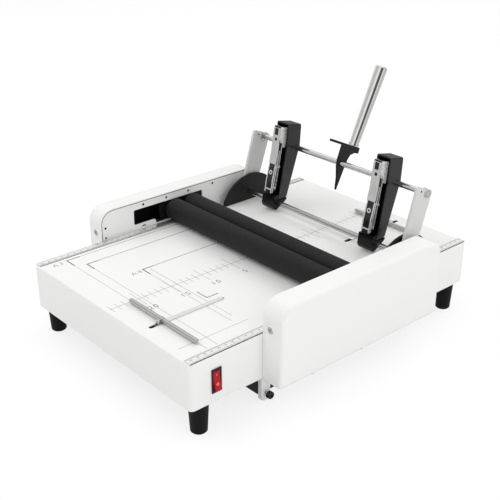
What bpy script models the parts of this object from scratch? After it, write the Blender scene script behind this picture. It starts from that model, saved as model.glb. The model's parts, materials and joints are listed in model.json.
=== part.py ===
"""Booklet maker: stapling arm, folding rollers and fold knife on a flat table.

Metres, +Z up, +X to the right-hand cover, +Y from the front edge to the rear.
The fold line runs across the table at FOLD_Y and every piece is placed from it.
"""
import math

import bmesh
import bpy
from mathutils import Matrix, Vector

for old in list(bpy.data.objects):
    bpy.data.objects.remove(old, do_unlink=True)

# Clearances shared by mating pieces
GAP = 0.0003
SLIDE_GAP = 0.0004
BORE_GAP = 0.0003
HOLE_GAP = 0.0003

# Base box and table
FOOT_HEIGHT = 0.040
BASE_HEIGHT = 0.061
TABLE_Z = FOOT_HEIGHT + BASE_HEIGHT
BASE_HALF_WIDTH = 0.1685
BASE_FRONT = 0.248
BASE_REAR = 0.245
FOLD_Y = (BASE_FRONT - BASE_REAR) / 2
SHEET = 0.0012
BASE_BEND = 0.0018
BASE_CORNER = 0.006
VENT_RADIUS = 0.012
VENT_X = 0.070
VENT_Y = 0.080

# Lower tray under the base box
TRAY_INSET = 0.0075
TRAY_HALF_WIDTH = BASE_HALF_WIDTH - TRAY_INSET
TRAY_FRONT = 0.141
TRAY_REAR = 0.145
TRAY_DEPTH = 0.0267
TRAY_CORNER = 0.003
TRAY_FOOT_INSET = 0.0085
TRAY_FOOT_Y = 0.046
TRAY_FOOT_TOP_RADIUS = 0.0080
TRAY_FOOT_RADIUS = 0.0075
TRAY_FOOT_LIFT = 0.0005

# Rubber feet
FOOT_SIDE_INSET = 0.013
FOOT_FRONT_INSET = 0.0205
FOOT_REAR_INSET = 0.0235
FOOT_X = BASE_HALF_WIDTH - FOOT_SIDE_INSET
FOOT_FRONT_Y = FOOT_FRONT_INSET - BASE_FRONT
FOOT_REAR_Y = BASE_REAR - FOOT_REAR_INSET
FOOT_TOP_RADIUS = 0.0125
FOOT_BOTTOM_RADIUS = 0.0104
FOOT_CHAMFER = 0.0015

# Side covers
COVER_FRONT = TRAY_FRONT
COVER_REAR = TRAY_REAR
COVER_DROP = 0.0025
COVER_BOTTOM = -BASE_HEIGHT - COVER_DROP
COVER_TOP = 0.044
COVER_DEPTH = 0.0325
COVER_OUTSIDE = BASE_HALF_WIDTH + COVER_DEPTH
COVER_WALL = 0.0015
COVER_TOP_RADIUS = 0.020
COVER_LOW_RADIUS = 0.003
COVER_BEND = 0.005

# Inner plates with the roller window
PLATE_THICKNESS = 0.002
WINDOW_FRONT = -0.085
WINDOW_REAR = 0.040
WINDOW_TOP = 0.0317
WINDOW_LIP = 0.0086
WINDOW_LIP_END = -0.047
WINDOW_LOW = 0.0018
WINDOW_RADIUS = 0.0025
PLATE_SLOT_Y = -0.068
PLATE_SLOT_Z = 0.0042
PLATE_SLOT_HALF = 0.004
PLATE_SLOT_RADIUS = 0.0013
SCREW_HEIGHT = 0.037
SCREW_YS = (-0.068, -0.027, 0.0136, 0.060)
SCREW_FRONT_Y = -0.1335
SCREW_FRONT_Z = 0.018
SCREW_HOLE_RADIUS = 0.0018

# Edge rules on the table
RULE_EDGE_SPACE = 0.0019
RULE_WIDTH = 0.0106
RULE_OUTSIDE = BASE_HALF_WIDTH - RULE_EDGE_SPACE
RULE_INSIDE = RULE_OUTSIDE - RULE_WIDTH
RULE_THICKNESS = 0.0008
RULE_END_SPACE = 0.002

# Folding rollers on their sliding carriage
ROLLER_RADIUS = 0.0158
ROLLER_LIFT = 0.0021
ROLLER_AXIS_Y = ROLLER_RADIUS + GAP
ROLLER_AXIS_Z = ROLLER_RADIUS + ROLLER_LIFT
ROLLER_END_SPACE = 0.0037
ROLLER_HALF_LENGTH = BASE_HALF_WIDTH - ROLLER_END_SPACE
ROLLER_CHAMFER = 0.0006
SHAFT_RADIUS = 0.005
SHAFT_LEFT_REACH = 0.0095
SHAFT_RIGHT_REACH = 0.0205
SHAFT_LEFT_END = BASE_HALF_WIDTH + SHAFT_LEFT_REACH
SHAFT_RIGHT_END = BASE_HALF_WIDTH + SHAFT_RIGHT_REACH
BAR_THICKNESS = 0.003
BAR_FRONT_REACH = 0.0219
BAR_REAR_REACH = 0.0319
BAR_HALF_HEIGHT = 0.0123
BAR_FRONT = -ROLLER_AXIS_Y - BAR_FRONT_REACH
BAR_REAR = ROLLER_AXIS_Y + BAR_REAR_REACH
BAR_LOW = ROLLER_AXIS_Z - BAR_HALF_HEIGHT
BAR_HIGH = ROLLER_AXIS_Z + BAR_HALF_HEIGHT
BAR_RADIUS = 0.004
RAIL_FRONT = -0.099
RAIL_REAR = 0.080
RAIL_HEIGHT = 0.0032
GEAR_OFFSET = 0.0095
GEAR_INSIDE = BASE_HALF_WIDTH + GEAR_OFFSET
GEAR_WIDTH = 0.008
GEAR_TEETH = 20
GEAR_DEDENDUM = 0.0018
GEAR_ADDENDUM = 0.0012
GEAR_ROOT_RADIUS = ROLLER_AXIS_Y - GEAR_DEDENDUM
GEAR_TIP_RADIUS = ROLLER_AXIS_Y + GEAR_ADDENDUM
TOOTH_ROOT_SHARE = 0.27
TOOTH_TIP_SHARE = 0.14

# Stapling frame: pivot rod and outline shares of the frame's reach
PIVOT_Y = 0.121
PIVOT_Z = 0.013
REACH = 0.100
ROD_RADIUS = 0.004
ROD_HEAD_RADIUS = 0.0055
ROD_HEAD_HEIGHT = 0.0012
UPPER_ROD_SHARE = (0.345, 0.805)
ARM_EDGE_SPACE = 0.0115
ARM_INSIDE = BASE_HALF_WIDTH - ARM_EDGE_SPACE
ARM_THICKNESS = 0.004
ARM_CORNER = 0.004
ARM_FOOT_RADIUS = 0.0105
ARM_SHARES = ((-0.037, 0.315), (0.146, 0.948), (0.457, 0.822), (0.269, 0.28))
ARM_FOOT_START = math.radians(-14)
ARM_FOOT_END = math.radians(-188)
ARM_HOLE_SHARE = (0.222, 0.862)
ARM_HOLE_RADIUS = 0.0016

# Fixed arched brackets that carry the pivot rod
BRACKET_THICKNESS = 0.003
BRACKET_SPACE = 0.0025
BRACKET_INSIDE = ARM_INSIDE - BRACKET_SPACE - BRACKET_THICKNESS
ARCH_CENTRE_Y = 0.1235
ARCH_CENTRE_Z = -0.0163
ARCH_RADIUS = 0.058

# Staplers
STAPLER_X = 0.098
STAPLER_HALF_WIDTH = 0.0125
STAPLER_WALL = 0.002
MAGAZINE_SHIFT = -0.002
MAGAZINE_HALF_WIDTH = 0.0065
MAGAZINE_WALL = 0.0008
COVER_BACK_SHARES = (
    (-0.0147, 0.057), (0.167, 0.057), (0.392, 0.723), (0.426, 0.816), (0.45, 1.15), (0.184, 1.202),
)
COVER_INNER_SHARES = (
    (-0.0105, 0.077), (0.153, 0.077), (0.372, 0.727), (0.405, 0.816), (0.428, 1.133), (0.1825, 1.181),
)
COVER_MOUTH_SHARES = ((0.151, 0.858),)
MAGAZINE_FRONT_SHARES = (
    (-0.099, 0.146), (-0.068, 0.34), (0.0, 0.6), (0.037, 0.75), (0.101, 1.15),
)
MAGAZINE_REAR_SHARES = ((0.21, 1.125), (0.155, 0.73), (0.03, 0.155))
MAGAZINE_INNER_SHARES = (
    (0.2, 1.115), (0.11, 1.13), (0.046, 0.745), (0.009, 0.6), (-0.059, 0.34), (-0.087, 0.165),
)
BASE_END_RADIUS = 0.0124
BASE_END_START = math.radians(-174)
BASE_END_STOP = math.radians(-137)
BASE_END_TOP_SHARES = ((0.167, 0.054), (-0.018, 0.054), (-0.004, 0.14), (-0.102, 0.14))
BASE_END_LOW_SHARES = ((-0.045, -0.098), (0.154, 0.019))

# Lever bracket and handle
LEVER_INSIDE = 0.002
LEVER_THICKNESS = 0.0035
LEVER_FLANGE_END = -0.021
LEVER_FRONT_SHARES = ((0.267, 0.418), (0.285, 0.6), (0.277, 0.776), (0.29, 0.86), (0.371, 1.069))
LEVER_TOP_SHARES = ((0.382, 1.104), (0.734, 0.942), (0.721, 0.91))
LEVER_REAR_SHARES = ((0.704, 0.866), (0.62, 0.892), (0.541, 0.884), (0.485, 0.83), (0.429, 0.732))
HANDLE_X = 0.0005
HANDLE_FOOT_SHARE = (0.644, 0.9873)
HANDLE_LEAN = math.radians(26)
HANDLE_LENGTH = 0.1185
HANDLE_LOW_RADIUS = 0.0071
HANDLE_TOP_RADIUS = 0.0090
HANDLE_NUT_RADIUS = 0.0078
HANDLE_NUT_HEIGHT = 0.004
HANDLE_RING_RADIUS = 0.0066
HANDLE_RING_HEIGHT = 0.0065
HANDLE_END_ROUND = 0.0025
HANDLE_WALL = 0.0022
HANDLE_MOUTH = 0.006

# Fold knife, its lift and the staple anvils
SLOT_END_SPACE = 0.0165
SLOT_HALF_LENGTH = BASE_HALF_WIDTH - SLOT_END_SPACE
SLOT_HALF_WIDTH = 0.0026
ANVIL_HALF_LENGTH = 0.0147
ANVIL_HALF_WIDTH = 0.0067
ANVIL_SEAT_HALF_LENGTH = 0.019
ANVIL_SEAT_HALF_WIDTH = 0.010
ANVIL_SEAT = 0.0026
BLADE_END_SPACE = 0.002
BLADE_HALF_LENGTH = SLOT_HALF_LENGTH - BLADE_END_SPACE
BLADE_HALF_THICKNESS = 0.0006
BLADE_TOP = -0.0004
BLADE_SHOULDER = -0.0176
BLADE_BOTTOM = -0.027
BLADE_NOTCH_SPACE = 0.001
GUIDE_THICKNESS = 0.010
GUIDE_GROOVE = 0.0037
GUIDE_HALF_WIDTH = 0.009
GUIDE_FOOT = 0.009
GUIDE_OUTSIDE = BASE_HALF_WIDTH - SHEET - GAP
GUIDE_INSIDE = GUIDE_OUTSIDE - GUIDE_THICKNESS
GUIDE_LOW = GUIDE_FOOT - BASE_HEIGHT
CARRIER_END = GUIDE_INSIDE + GUIDE_GROOVE
CARRIER_HALF_WIDTH = 0.005
CARRIER_BOTTOM = -0.0302
CARRIER_TOP = -0.021
KNIFE_TRAVEL = 0.012
CAM_TURN = math.pi
CAM_LOW_RADIUS = 0.007
CAM_WIDTH = 0.010
CAM_LEFT_SIDE = math.radians(195)
LIFT_SHAFT_RADIUS = 0.004
LIFT_SHAFT_Z = CARRIER_BOTTOM - SLIDE_GAP - CAM_LOW_RADIUS
LIFT_SHAFT_LEFT = -0.034
GEARBOX_SPACE = 0.011
GEARBOX_LENGTH = 0.028
GEARBOX_CLEARANCE = 0.001
GEARBOX_RIGHT = GUIDE_INSIDE - GEARBOX_SPACE
GEARBOX_LEFT = GEARBOX_RIGHT - GEARBOX_LENGTH
GEARBOX_HALF_WIDTH = 0.016
GEARBOX_TOP = CARRIER_BOTTOM - GEARBOX_CLEARANCE
GEARBOX_CORNER = 0.002
MOTOR_RADIUS = 0.0135
MOTOR_HEIGHT = 0.016
MOTOR_Z = MOTOR_HEIGHT - BASE_HEIGHT
MOTOR_END = 0.072
MOTOR_BOSS_RADIUS = 0.005
MOTOR_BOSS = 0.002
STAND_THICKNESS = 0.004
STAND_FOOT_HALF = 0.014
STAND_HEAD_HALF = 0.0065

# Paper stops: a round rod held by a band with a small screw tab
STOP_ROD_RADIUS = 0.003
STOP_ROD_END = 0.0022
STOP_BAND = 0.0005
STOP_BAND_HALF = 0.0028
STOP_TAB_REACH = 0.0052
STOP_TAB_THICKNESS = 0.0012
STOP_SCREW_OFFSET = 0.0061
STOP_HOLE_RADIUS = 0.0018
STOP_SLOT_RADIUS = 0.003
FRONT_STOP_INSET = 0.0355
FRONT_STOP_Y = FRONT_STOP_INSET - BASE_FRONT
FRONT_STOP_LEFT = 0.005
FRONT_STOP_RIGHT = 0.138
FRONT_STOP_X = 0.071
FRONT_SLOT_INSET = 0.016
FRONT_SLOT = (FRONT_SLOT_INSET - BASE_FRONT, -0.118)
FRONT_STRIP_END = -0.121
REAR_STOP_INSET = 0.040
REAR_STOP_Y = BASE_REAR - REAR_STOP_INSET
REAR_STOP_LEFT = -0.0065
REAR_STOP_RIGHT = 0.106
REAR_STOP_X = 0.056
REAR_SLOT_INSET = 0.016
REAR_SLOT = (0.116, BASE_REAR - REAR_SLOT_INSET)
REAR_STRIP_END = 0.127
STRIP_HALF_WIDTH = 0.00325
STRIP_THICKNESS = 0.0008
THUMB_RADIUS = 0.0024
THUMB_HEIGHT = 0.0034
THUMB_CHAMFER = 0.0005
THUMB_SHANK_RADIUS = 0.0015
THUMB_NUT_RADIUS = 0.0045
THUMB_NUT_HEIGHT = 0.002
KNURL_SHARE = 0.94

# Mains switch on the right-hand side
SWITCH_FRONT_SPACE = 0.037
SWITCH_HEIGHT = 0.02825
SWITCH_Y = SWITCH_FRONT_SPACE - BASE_FRONT
SWITCH_Z = SWITCH_HEIGHT - BASE_HEIGHT
SWITCH_HALF_WIDTH = 0.007
SWITCH_HALF_HEIGHT = 0.0155
SWITCH_BODY_HALF_WIDTH = 0.0058
SWITCH_BODY_HALF_HEIGHT = 0.014
SWITCH_BODY_DEPTH = 0.0185
SWITCH_FLANGE = 0.0012
SWITCH_WELL_HALF_WIDTH = 0.0049
SWITCH_WELL_HALF_HEIGHT = 0.0128
SWITCH_WELL_DEPTH = 0.0105
ROCKER_SPACE = 0.0003
ROCKER_LENGTH = 0.0236
ROCKER_TILT = math.radians(7)
ROCKER_SHARES = (
    (0.14, 0.5), (0.085, 0.25), (0.068, 0.0), (0.085, -0.25), (0.14, -0.5),
    (-0.06, -0.5), (-0.24, -0.17), (-0.24, 0.17), (-0.06, 0.5),
)

# Mains inlet at the rear
INLET_X = -0.060
INLET_HEIGHT = 0.028
INLET_Z = INLET_HEIGHT - BASE_HEIGHT
INLET_HALF_WIDTH = 0.015
INLET_HALF_HEIGHT = 0.012
INLET_DEPTH = 0.023
INLET_FLUSH = 0.0001
INLET_WELL_HALF_WIDTH = 0.012
INLET_WELL_HALF_HEIGHT = 0.008
INLET_WELL_DEPTH = 0.016
INLET_WELL_CORNER = 0.004

# Clamps that hold the side covers to the tray
CLAMP_THICKNESS = 0.0062
CLAMP_WIDTH = 0.014
CLAMP_DROP = 0.034
CLAMP_SCREW_RISE = 0.0105
CLAMP_CHAMFER = 0.0007
CLAMP_INSIDE = TRAY_HALF_WIDTH + GAP
CLAMP_OUTSIDE = CLAMP_INSIDE + CLAMP_THICKNESS
CLAMP_FRONT = -TRAY_FRONT
CLAMP_REAR = CLAMP_FRONT + CLAMP_WIDTH
CLAMP_LOW = -BASE_HEIGHT - CLAMP_DROP
CLAMP_CORNER = 0.004
CLAMP_SCREW_Z = CLAMP_LOW + CLAMP_SCREW_RISE
CLAMP_HEAD_RADIUS = 0.0055
CLAMP_HEAD_LENGTH = 0.0085
CLAMP_SHOULDER_RADIUS = 0.0032
CLAMP_SHOULDER_LENGTH = 0.0015
CLAMP_SHANK_RADIUS = 0.002

# Mesh fineness
CORNER_STEPS = 4
BEND_STEPS = 3
ROUND_COUNT = 32
SMALL_COUNT = 16
END_STEPS = 8
SHARP_ANGLE = math.radians(32)
QUARTER = math.pi / 2

SIDES = (("right", 1), ("left", -1))


def surface(name, colour, metallic, roughness):
    made = bpy.data.materials.new(name)
    made.use_nodes = True
    shader = made.node_tree.nodes["Principled BSDF"]
    shader.inputs["Base Color"].default_value = (*colour, 1)
    shader.inputs["Metallic"].default_value = metallic
    shader.inputs["Roughness"].default_value = roughness
    made.diffuse_color = (*colour, 1)
    return made


def at(x, y, z):
    return Vector((x, FOLD_Y + y, TABLE_Z + z))


def place(axis, depth, u, v):
    if axis == "X":
        return Vector((depth, u, v))
    if axis == "Y":
        return Vector((u, depth, v))
    return Vector((u, v, depth))


def part(name, bm, look, spot=(0, 0, 0)):
    bmesh.ops.recalc_face_normals(bm, faces=bm.faces)
    mesh = bpy.data.meshes.new(name)
    bm.to_mesh(mesh)
    bm.free()
    mesh.materials.append(look)
    made = bpy.data.objects.new(name, mesh)
    bpy.context.collection.objects.link(made)
    made.location = at(*spot)
    for face in mesh.polygons:
        face.use_smooth = True
    mesh.set_sharp_from_angle(angle=SHARP_ANGLE)


def rectangle(low_u, high_u, low_v, high_v):
    return [(low_u, low_v), (high_u, low_v), (high_u, high_v), (low_u, high_v)]


def rounded(points, radii, steps=CORNER_STEPS):
    if not isinstance(radii, (list, tuple)):
        radii = [radii] * len(points)
    outline = []
    for index, point in enumerate(points):
        corner = Vector(point)
        radius = radii[index]
        if radius <= 0:
            outline.append(tuple(corner))
            continue
        before = (Vector(points[index - 1]) - corner).normalized()
        after = (Vector(points[(index + 1) % len(points)]) - corner).normalized()
        half = before.angle(after) / 2
        centre = corner + (before + after).normalized() * (radius / math.sin(half))
        start = corner + before * (radius / math.tan(half)) - centre
        stop = corner + after * (radius / math.tan(half)) - centre
        first = math.atan2(start.y, start.x)
        sweep = math.atan2(stop.y, stop.x) - first
        if sweep > math.pi:
            sweep -= 2 * math.pi
        if sweep < -math.pi:
            sweep += 2 * math.pi
        for step in range(steps + 1):
            angle = first + sweep * step / steps
            outline.append((centre.x + radius * math.cos(angle), centre.y + radius * math.sin(angle)))
    return outline


def arc(u, v, radius, first, last, steps=END_STEPS):
    points = []
    for step in range(steps + 1):
        angle = first + (last - first) * step / steps
        points.append((u + radius * math.cos(angle), v + radius * math.sin(angle)))
    return points


def circle(u, v, radius, count=SMALL_COUNT):
    return arc(u, v, radius, 0, 2 * math.pi * (count - 1) / count, count - 1)


def stadium_u(low, high, v, radius, steps=END_STEPS):
    right = arc(high - radius, v, radius, -QUARTER, QUARTER, steps)
    return right + arc(low + radius, v, radius, QUARTER, 3 * QUARTER, steps)


def stadium_v(u, low, high, radius, steps=END_STEPS):
    top = arc(u, high - radius, radius, 0, 2 * QUARTER, steps)
    return top + arc(u, low + radius, radius, 2 * QUARTER, 4 * QUARTER, steps)


def ring_of(bm, points):
    return [bm.verts.new(point) for point in points]


def join_rings(bm, first, second):
    for index in range(len(first)):
        bm.faces.new((first[index - 1], first[index], second[index], second[index - 1]))


def fill(bm, rings):
    edges = []
    for ring in rings:
        for index in range(len(ring)):
            pair = (ring[index - 1], ring[index])
            edges.append(bm.edges.get(pair) or bm.edges.new(pair))
    bmesh.ops.triangle_fill(bm, use_beauty=True, use_dissolve=False, edges=edges)


def plate(bm, outline, holes, axis, low, high):
    ends = []
    for depth in (low, high):
        rings = []
        for loop in [outline] + list(holes):
            rings.append(ring_of(bm, [place(axis, depth, u, v) for u, v in loop]))
        if holes:
            fill(bm, rings)
        else:
            bm.faces.new(rings[0])
        ends.append(rings)
    for first, second in zip(*ends):
        join_rings(bm, first, second)


def skin(bm, loops):
    rings = [ring_of(bm, loop) for loop in loops]
    for first, second in zip(rings, rings[1:]):
        join_rings(bm, first, second)
    bm.faces.new(rings[0])
    bm.faces.new(rings[-1])
    return rings


def turned(bm, axis, centre, profile, count=ROUND_COUNT, hollow=False, knurl=()):
    rings = []
    for number, (radius, along) in enumerate(profile):
        points = []
        for index in range(count):
            angle = 2 * math.pi * index / count
            reach = radius
            if number in knurl and index % 2:
                reach = radius * KNURL_SHARE
            points.append(
                place(axis, along, centre[0] + reach * math.cos(angle), centre[1] + reach * math.sin(angle))
            )
        rings.append(ring_of(bm, points))
    for first, second in zip(rings, rings[1:]):
        join_rings(bm, first, second)
    if hollow:
        join_rings(bm, rings[-1], rings[0])
    else:
        bm.faces.new(rings[0])
        bm.faces.new(rings[-1])


def scaled(shares):
    return [(u * REACH, v * REACH) for u, v in shares]


painted = surface("painted_sheet_white", (0.83, 0.84, 0.84), 0, 0.45)
grey_paint = surface("painted_plate_grey", (0.70, 0.71, 0.72), 0, 0.45)
black_sheet = surface("black_sheet", (0.015, 0.015, 0.016), 0, 0.5)
steel = surface("bright_steel", (0.62, 0.62, 0.63), 1, 0.3)
dark_steel = surface("dark_steel", (0.10, 0.10, 0.11), 1, 0.45)
chrome = surface("chrome_plate", (0.80, 0.80, 0.80), 1, 0.12)
roller_rubber = surface("roller_rubber", (0.027, 0.027, 0.028), 0, 0.7)
foot_rubber = surface("foot_rubber", (0.02, 0.02, 0.02), 0, 0.8)
stapler_black = surface("stapler_black", (0.045, 0.045, 0.047), 0, 0.4)
black_plastic = surface("black_plastic", (0.02, 0.02, 0.021), 0, 0.45)
red_plastic = surface("red_plastic", (0.55, 0.01, 0.015), 0, 0.3)
gear_plastic = surface("gear_plastic", (0.55, 0.53, 0.48), 0, 0.5)


def base_ring(inset, z):
    corners = rectangle(
        -BASE_HALF_WIDTH + inset, BASE_HALF_WIDTH - inset, -BASE_FRONT + inset, BASE_REAR - inset
    )
    return [(u, v, z) for u, v in rounded(corners, BASE_CORNER - inset)]


def anvil_x(side):
    return side * STAPLER_X + MAGAZINE_SHIFT


def fold_slot():
    half = ANVIL_HALF_LENGTH + HOLE_GAP
    deep = ANVIL_HALF_WIDTH + HOLE_GAP
    near = [(-SLOT_HALF_LENGTH, -SLOT_HALF_WIDTH)]
    for side in (-1, 1):
        near.append((anvil_x(side) - half, -SLOT_HALF_WIDTH))
        near.append((anvil_x(side) - half, -deep))
        near.append((anvil_x(side) + half, -deep))
        near.append((anvil_x(side) + half, -SLOT_HALF_WIDTH))
    near.append((SLOT_HALF_LENGTH, -SLOT_HALF_WIDTH))
    far = [(u, -v) for u, v in reversed(near)]
    return near + far


def stop_slot(x, span):
    return stadium_v(x, span[0], span[1], STOP_SLOT_RADIUS, 6)


# Base box: table top and four walls in one folded sheet
bm = bmesh.new()
inner_bend = BASE_BEND - SHEET
outer = [base_ring(0, -BASE_HEIGHT)]
inner = [base_ring(SHEET, -BASE_HEIGHT)]
for step in range(BEND_STEPS + 1):
    angle = QUARTER * step / BEND_STEPS
    rise = math.sin(angle)
    turn_in = 1 - math.cos(angle)
    outer.append(base_ring(BASE_BEND * turn_in, BASE_BEND * (rise - 1)))
    inner.append(base_ring(SHEET + inner_bend * turn_in, inner_bend * rise - BASE_BEND))
outer_rings = [ring_of(bm, loop) for loop in outer]
inner_rings = [ring_of(bm, loop) for loop in inner]
for rings in (outer_rings, inner_rings):
    for first, second in zip(rings, rings[1:]):
        join_rings(bm, first, second)
join_rings(bm, outer_rings[0], inner_rings[0])
slots = (fold_slot(), stop_slot(FRONT_STOP_X, FRONT_SLOT), stop_slot(REAR_STOP_X, REAR_SLOT))
upper_loops = [ring_of(bm, [(u, v, 0) for u, v in slot]) for slot in slots]
lower_loops = [ring_of(bm, [(u, v, -SHEET) for u, v in slot]) for slot in slots]
fill(bm, [outer_rings[-1]] + upper_loops)
fill(bm, [inner_rings[-1]] + lower_loops)
for first, second in zip(upper_loops, lower_loops):
    join_rings(bm, first, second)


def wall_opening(corner, points):
    """Cut one rectangular opening through the flat wall that follows the given corner."""
    last = corner * (CORNER_STEPS + 1) - 1
    for rings, loop in ((outer_rings, points[0]), (inner_rings, points[1])):
        quad = (rings[0][last], rings[0][last + 1], rings[1][last + 1], rings[1][last])
        bmesh.ops.delete(bm, geom=[bm.faces.get(quad)], context="FACES_ONLY")
        fill(bm, [quad, loop])
    join_rings(bm, points[0], points[1])


switch_hole = rectangle(
    SWITCH_Y - SWITCH_BODY_HALF_WIDTH - HOLE_GAP, SWITCH_Y + SWITCH_BODY_HALF_WIDTH + HOLE_GAP,
    SWITCH_Z - SWITCH_BODY_HALF_HEIGHT - HOLE_GAP, SWITCH_Z + SWITCH_BODY_HALF_HEIGHT + HOLE_GAP,
)
wall_opening(2, [
    ring_of(bm, [(depth, u, v) for u, v in switch_hole])
    for depth in (BASE_HALF_WIDTH, BASE_HALF_WIDTH - SHEET)
])
inlet_hole = rectangle(
    INLET_X - INLET_HALF_WIDTH - HOLE_GAP, INLET_X + INLET_HALF_WIDTH + HOLE_GAP,
    INLET_Z - INLET_HALF_HEIGHT - HOLE_GAP, INLET_Z + INLET_HALF_HEIGHT + HOLE_GAP,
)
wall_opening(3, [
    ring_of(bm, [(u, depth, v) for u, v in inlet_hole]) for depth in (BASE_REAR, BASE_REAR - SHEET)
])
part("base_shell", bm, painted)

# Bottom plate, flush inside the walls
bm = bmesh.new()
outline = [(u, v) for u, v, z in base_ring(SHEET + GAP, 0)]
vents = [circle(side * VENT_X, VENT_Y, VENT_RADIUS) for name, side in SIDES]
plate(bm, outline, vents, "Z", -BASE_HEIGHT, SHEET - BASE_HEIGHT)
part("bottom_plate", bm, black_sheet)
floor_z = SHEET - BASE_HEIGHT

# Tray under the base between the two covers, with four short feet of its own
bm = bmesh.new()
tray_top = -BASE_HEIGHT - GAP
tray_low = tray_top - TRAY_DEPTH


def tray_ring(inset, z):
    corners = rectangle(
        -TRAY_HALF_WIDTH + inset, TRAY_HALF_WIDTH - inset, -TRAY_FRONT + inset, TRAY_REAR - inset
    )
    return [(u, v, z) for u, v in rounded(corners, TRAY_CORNER - inset)]


rings = [ring_of(bm, loop) for loop in (
    tray_ring(0, tray_low), tray_ring(0, tray_top),
    tray_ring(SHEET, tray_top), tray_ring(SHEET, tray_low + SHEET),
)]
for first, second in zip(rings, rings[1:]):
    join_rings(bm, first, second)
bm.faces.new(rings[-1])
foot_rings = []
for name, side in SIDES:
    for y in (-TRAY_FOOT_Y, TRAY_FOOT_Y):
        stack = []
        for radius, z in (
            (TRAY_FOOT_TOP_RADIUS, tray_low), (TRAY_FOOT_RADIUS, TRAY_FOOT_LIFT + FOOT_CHAMFER - TABLE_Z),
            (TRAY_FOOT_RADIUS - FOOT_CHAMFER, TRAY_FOOT_LIFT - TABLE_Z),
        ):
            spots = circle(side * (TRAY_HALF_WIDTH - TRAY_FOOT_INSET), y, radius)
            stack.append(ring_of(bm, [(u, v, z) for u, v in spots]))
        for first, second in zip(stack, stack[1:]):
            join_rings(bm, first, second)
        bm.faces.new(stack[-1])
        foot_rings.append(stack[0])
fill(bm, [rings[0]] + foot_rings)
part("under_tray", bm, black_sheet)

# Rubber feet at the four corners
for name, side in SIDES:
    for end, y in (("front", FOOT_FRONT_Y), ("rear", FOOT_REAR_Y)):
        bm = bmesh.new()
        turned(bm, "Z", (side * FOOT_X, y), (
            (FOOT_BOTTOM_RADIUS - FOOT_CHAMFER, -TABLE_Z),
            (FOOT_BOTTOM_RADIUS, FOOT_CHAMFER - TABLE_Z),
            (FOOT_TOP_RADIUS, -BASE_HEIGHT - GAP),
        ), 24)
        part("foot_" + end + "_" + name, bm, foot_rubber)


def cover_ring(inset):
    corners = rectangle(-COVER_FRONT + inset, COVER_REAR - inset, COVER_BOTTOM + inset, COVER_TOP - inset)
    low = max(COVER_LOW_RADIUS - inset, GAP)
    high = COVER_TOP_RADIUS - inset
    return rounded(corners, (low, low, high, high), 5)


plate_inside = BASE_HALF_WIDTH + GAP
plate_outside = plate_inside + PLATE_THICKNESS
shaft_bore = SHAFT_RADIUS + BORE_GAP
screw_spots = [(y, SCREW_HEIGHT) for y in SCREW_YS] + [(SCREW_FRONT_Y, SCREW_FRONT_Z)]

for name, side in SIDES:
    # Side cover: one folded and rounded shell, open towards the inner plate
    bm = bmesh.new()
    loops = []
    for step in range(BEND_STEPS, -1, -1):
        angle = QUARTER * step / BEND_STEPS
        inset = COVER_BEND * (1 - math.cos(angle))
        depth = COVER_OUTSIDE - COVER_BEND + COVER_BEND * math.sin(angle)
        loops.append([(side * depth, u, v) for u, v in cover_ring(inset)])
    loops.append([(side * plate_inside, u, v) for u, v in cover_ring(0)])
    loops.append([(side * plate_inside, u, v) for u, v in cover_ring(COVER_WALL)])
    inner_radius = COVER_BEND - COVER_WALL
    for step in range(BEND_STEPS + 1):
        angle = QUARTER * step / BEND_STEPS
        inset = COVER_WALL + inner_radius * (1 - math.cos(angle))
        depth = COVER_OUTSIDE - COVER_BEND + inner_radius * math.sin(angle)
        loops.append([(side * depth, u, v) for u, v in cover_ring(inset)])
    skin(bm, loops)
    part("side_cover_" + name, bm, painted)

    # Inner plate with the window the roller carriage travels through
    bm = bmesh.new()
    window = rounded(
        (
            (WINDOW_FRONT, WINDOW_TOP), (WINDOW_FRONT, WINDOW_LIP), (WINDOW_LIP_END, WINDOW_LIP),
            (WINDOW_LIP_END, WINDOW_LOW), (WINDOW_REAR, WINDOW_LOW), (WINDOW_REAR, WINDOW_TOP),
        ),
        WINDOW_RADIUS, 3,
    )
    holes = [window]
    holes.append(stadium_u(
        PLATE_SLOT_Y - PLATE_SLOT_HALF, PLATE_SLOT_Y + PLATE_SLOT_HALF, PLATE_SLOT_Z, PLATE_SLOT_RADIUS, 3
    ))
    for y, z in screw_spots:
        holes.append(circle(y, z, SCREW_HOLE_RADIUS, 10))
    plate(bm, cover_ring(COVER_WALL + GAP), holes, "X", side * plate_inside, side * plate_outside)
    part("inner_plate_" + name, bm, painted)

# Carriage guides: a fork behind each inner plate, open towards the front
bar_inside = plate_outside + SLIDE_GAP
bar_outside = bar_inside + BAR_THICKNESS
guide_inside = plate_outside + GAP
for name, side in SIDES:
    bm = bmesh.new()
    fork_low = BAR_LOW - SLIDE_GAP
    fork_high = BAR_HIGH + SLIDE_GAP
    outline = (
        (RAIL_FRONT, fork_low - RAIL_HEIGHT), (RAIL_REAR, fork_low - RAIL_HEIGHT),
        (RAIL_REAR, fork_high + RAIL_HEIGHT), (RAIL_FRONT, fork_high + RAIL_HEIGHT),
        (RAIL_FRONT, fork_high), (BAR_REAR + SLIDE_GAP, fork_high),
        (BAR_REAR + SLIDE_GAP, fork_low), (RAIL_FRONT, fork_low),
    )
    plate(bm, outline, (), "X", side * guide_inside, side * (bar_outside + GAP))
    part("carriage_guide_" + name, bm, steel)

# Edge rules lying along both sides of the table
for name, side in SIDES:
    bm = bmesh.new()
    outline = rectangle(
        min(side * RULE_INSIDE, side * RULE_OUTSIDE), max(side * RULE_INSIDE, side * RULE_OUTSIDE),
        -BASE_FRONT + RULE_END_SPACE, BASE_REAR - RULE_END_SPACE,
    )
    plate(bm, outline, (), "Z", GAP, GAP + RULE_THICKNESS)
    part("edge_rule_" + name, bm, steel)

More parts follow.
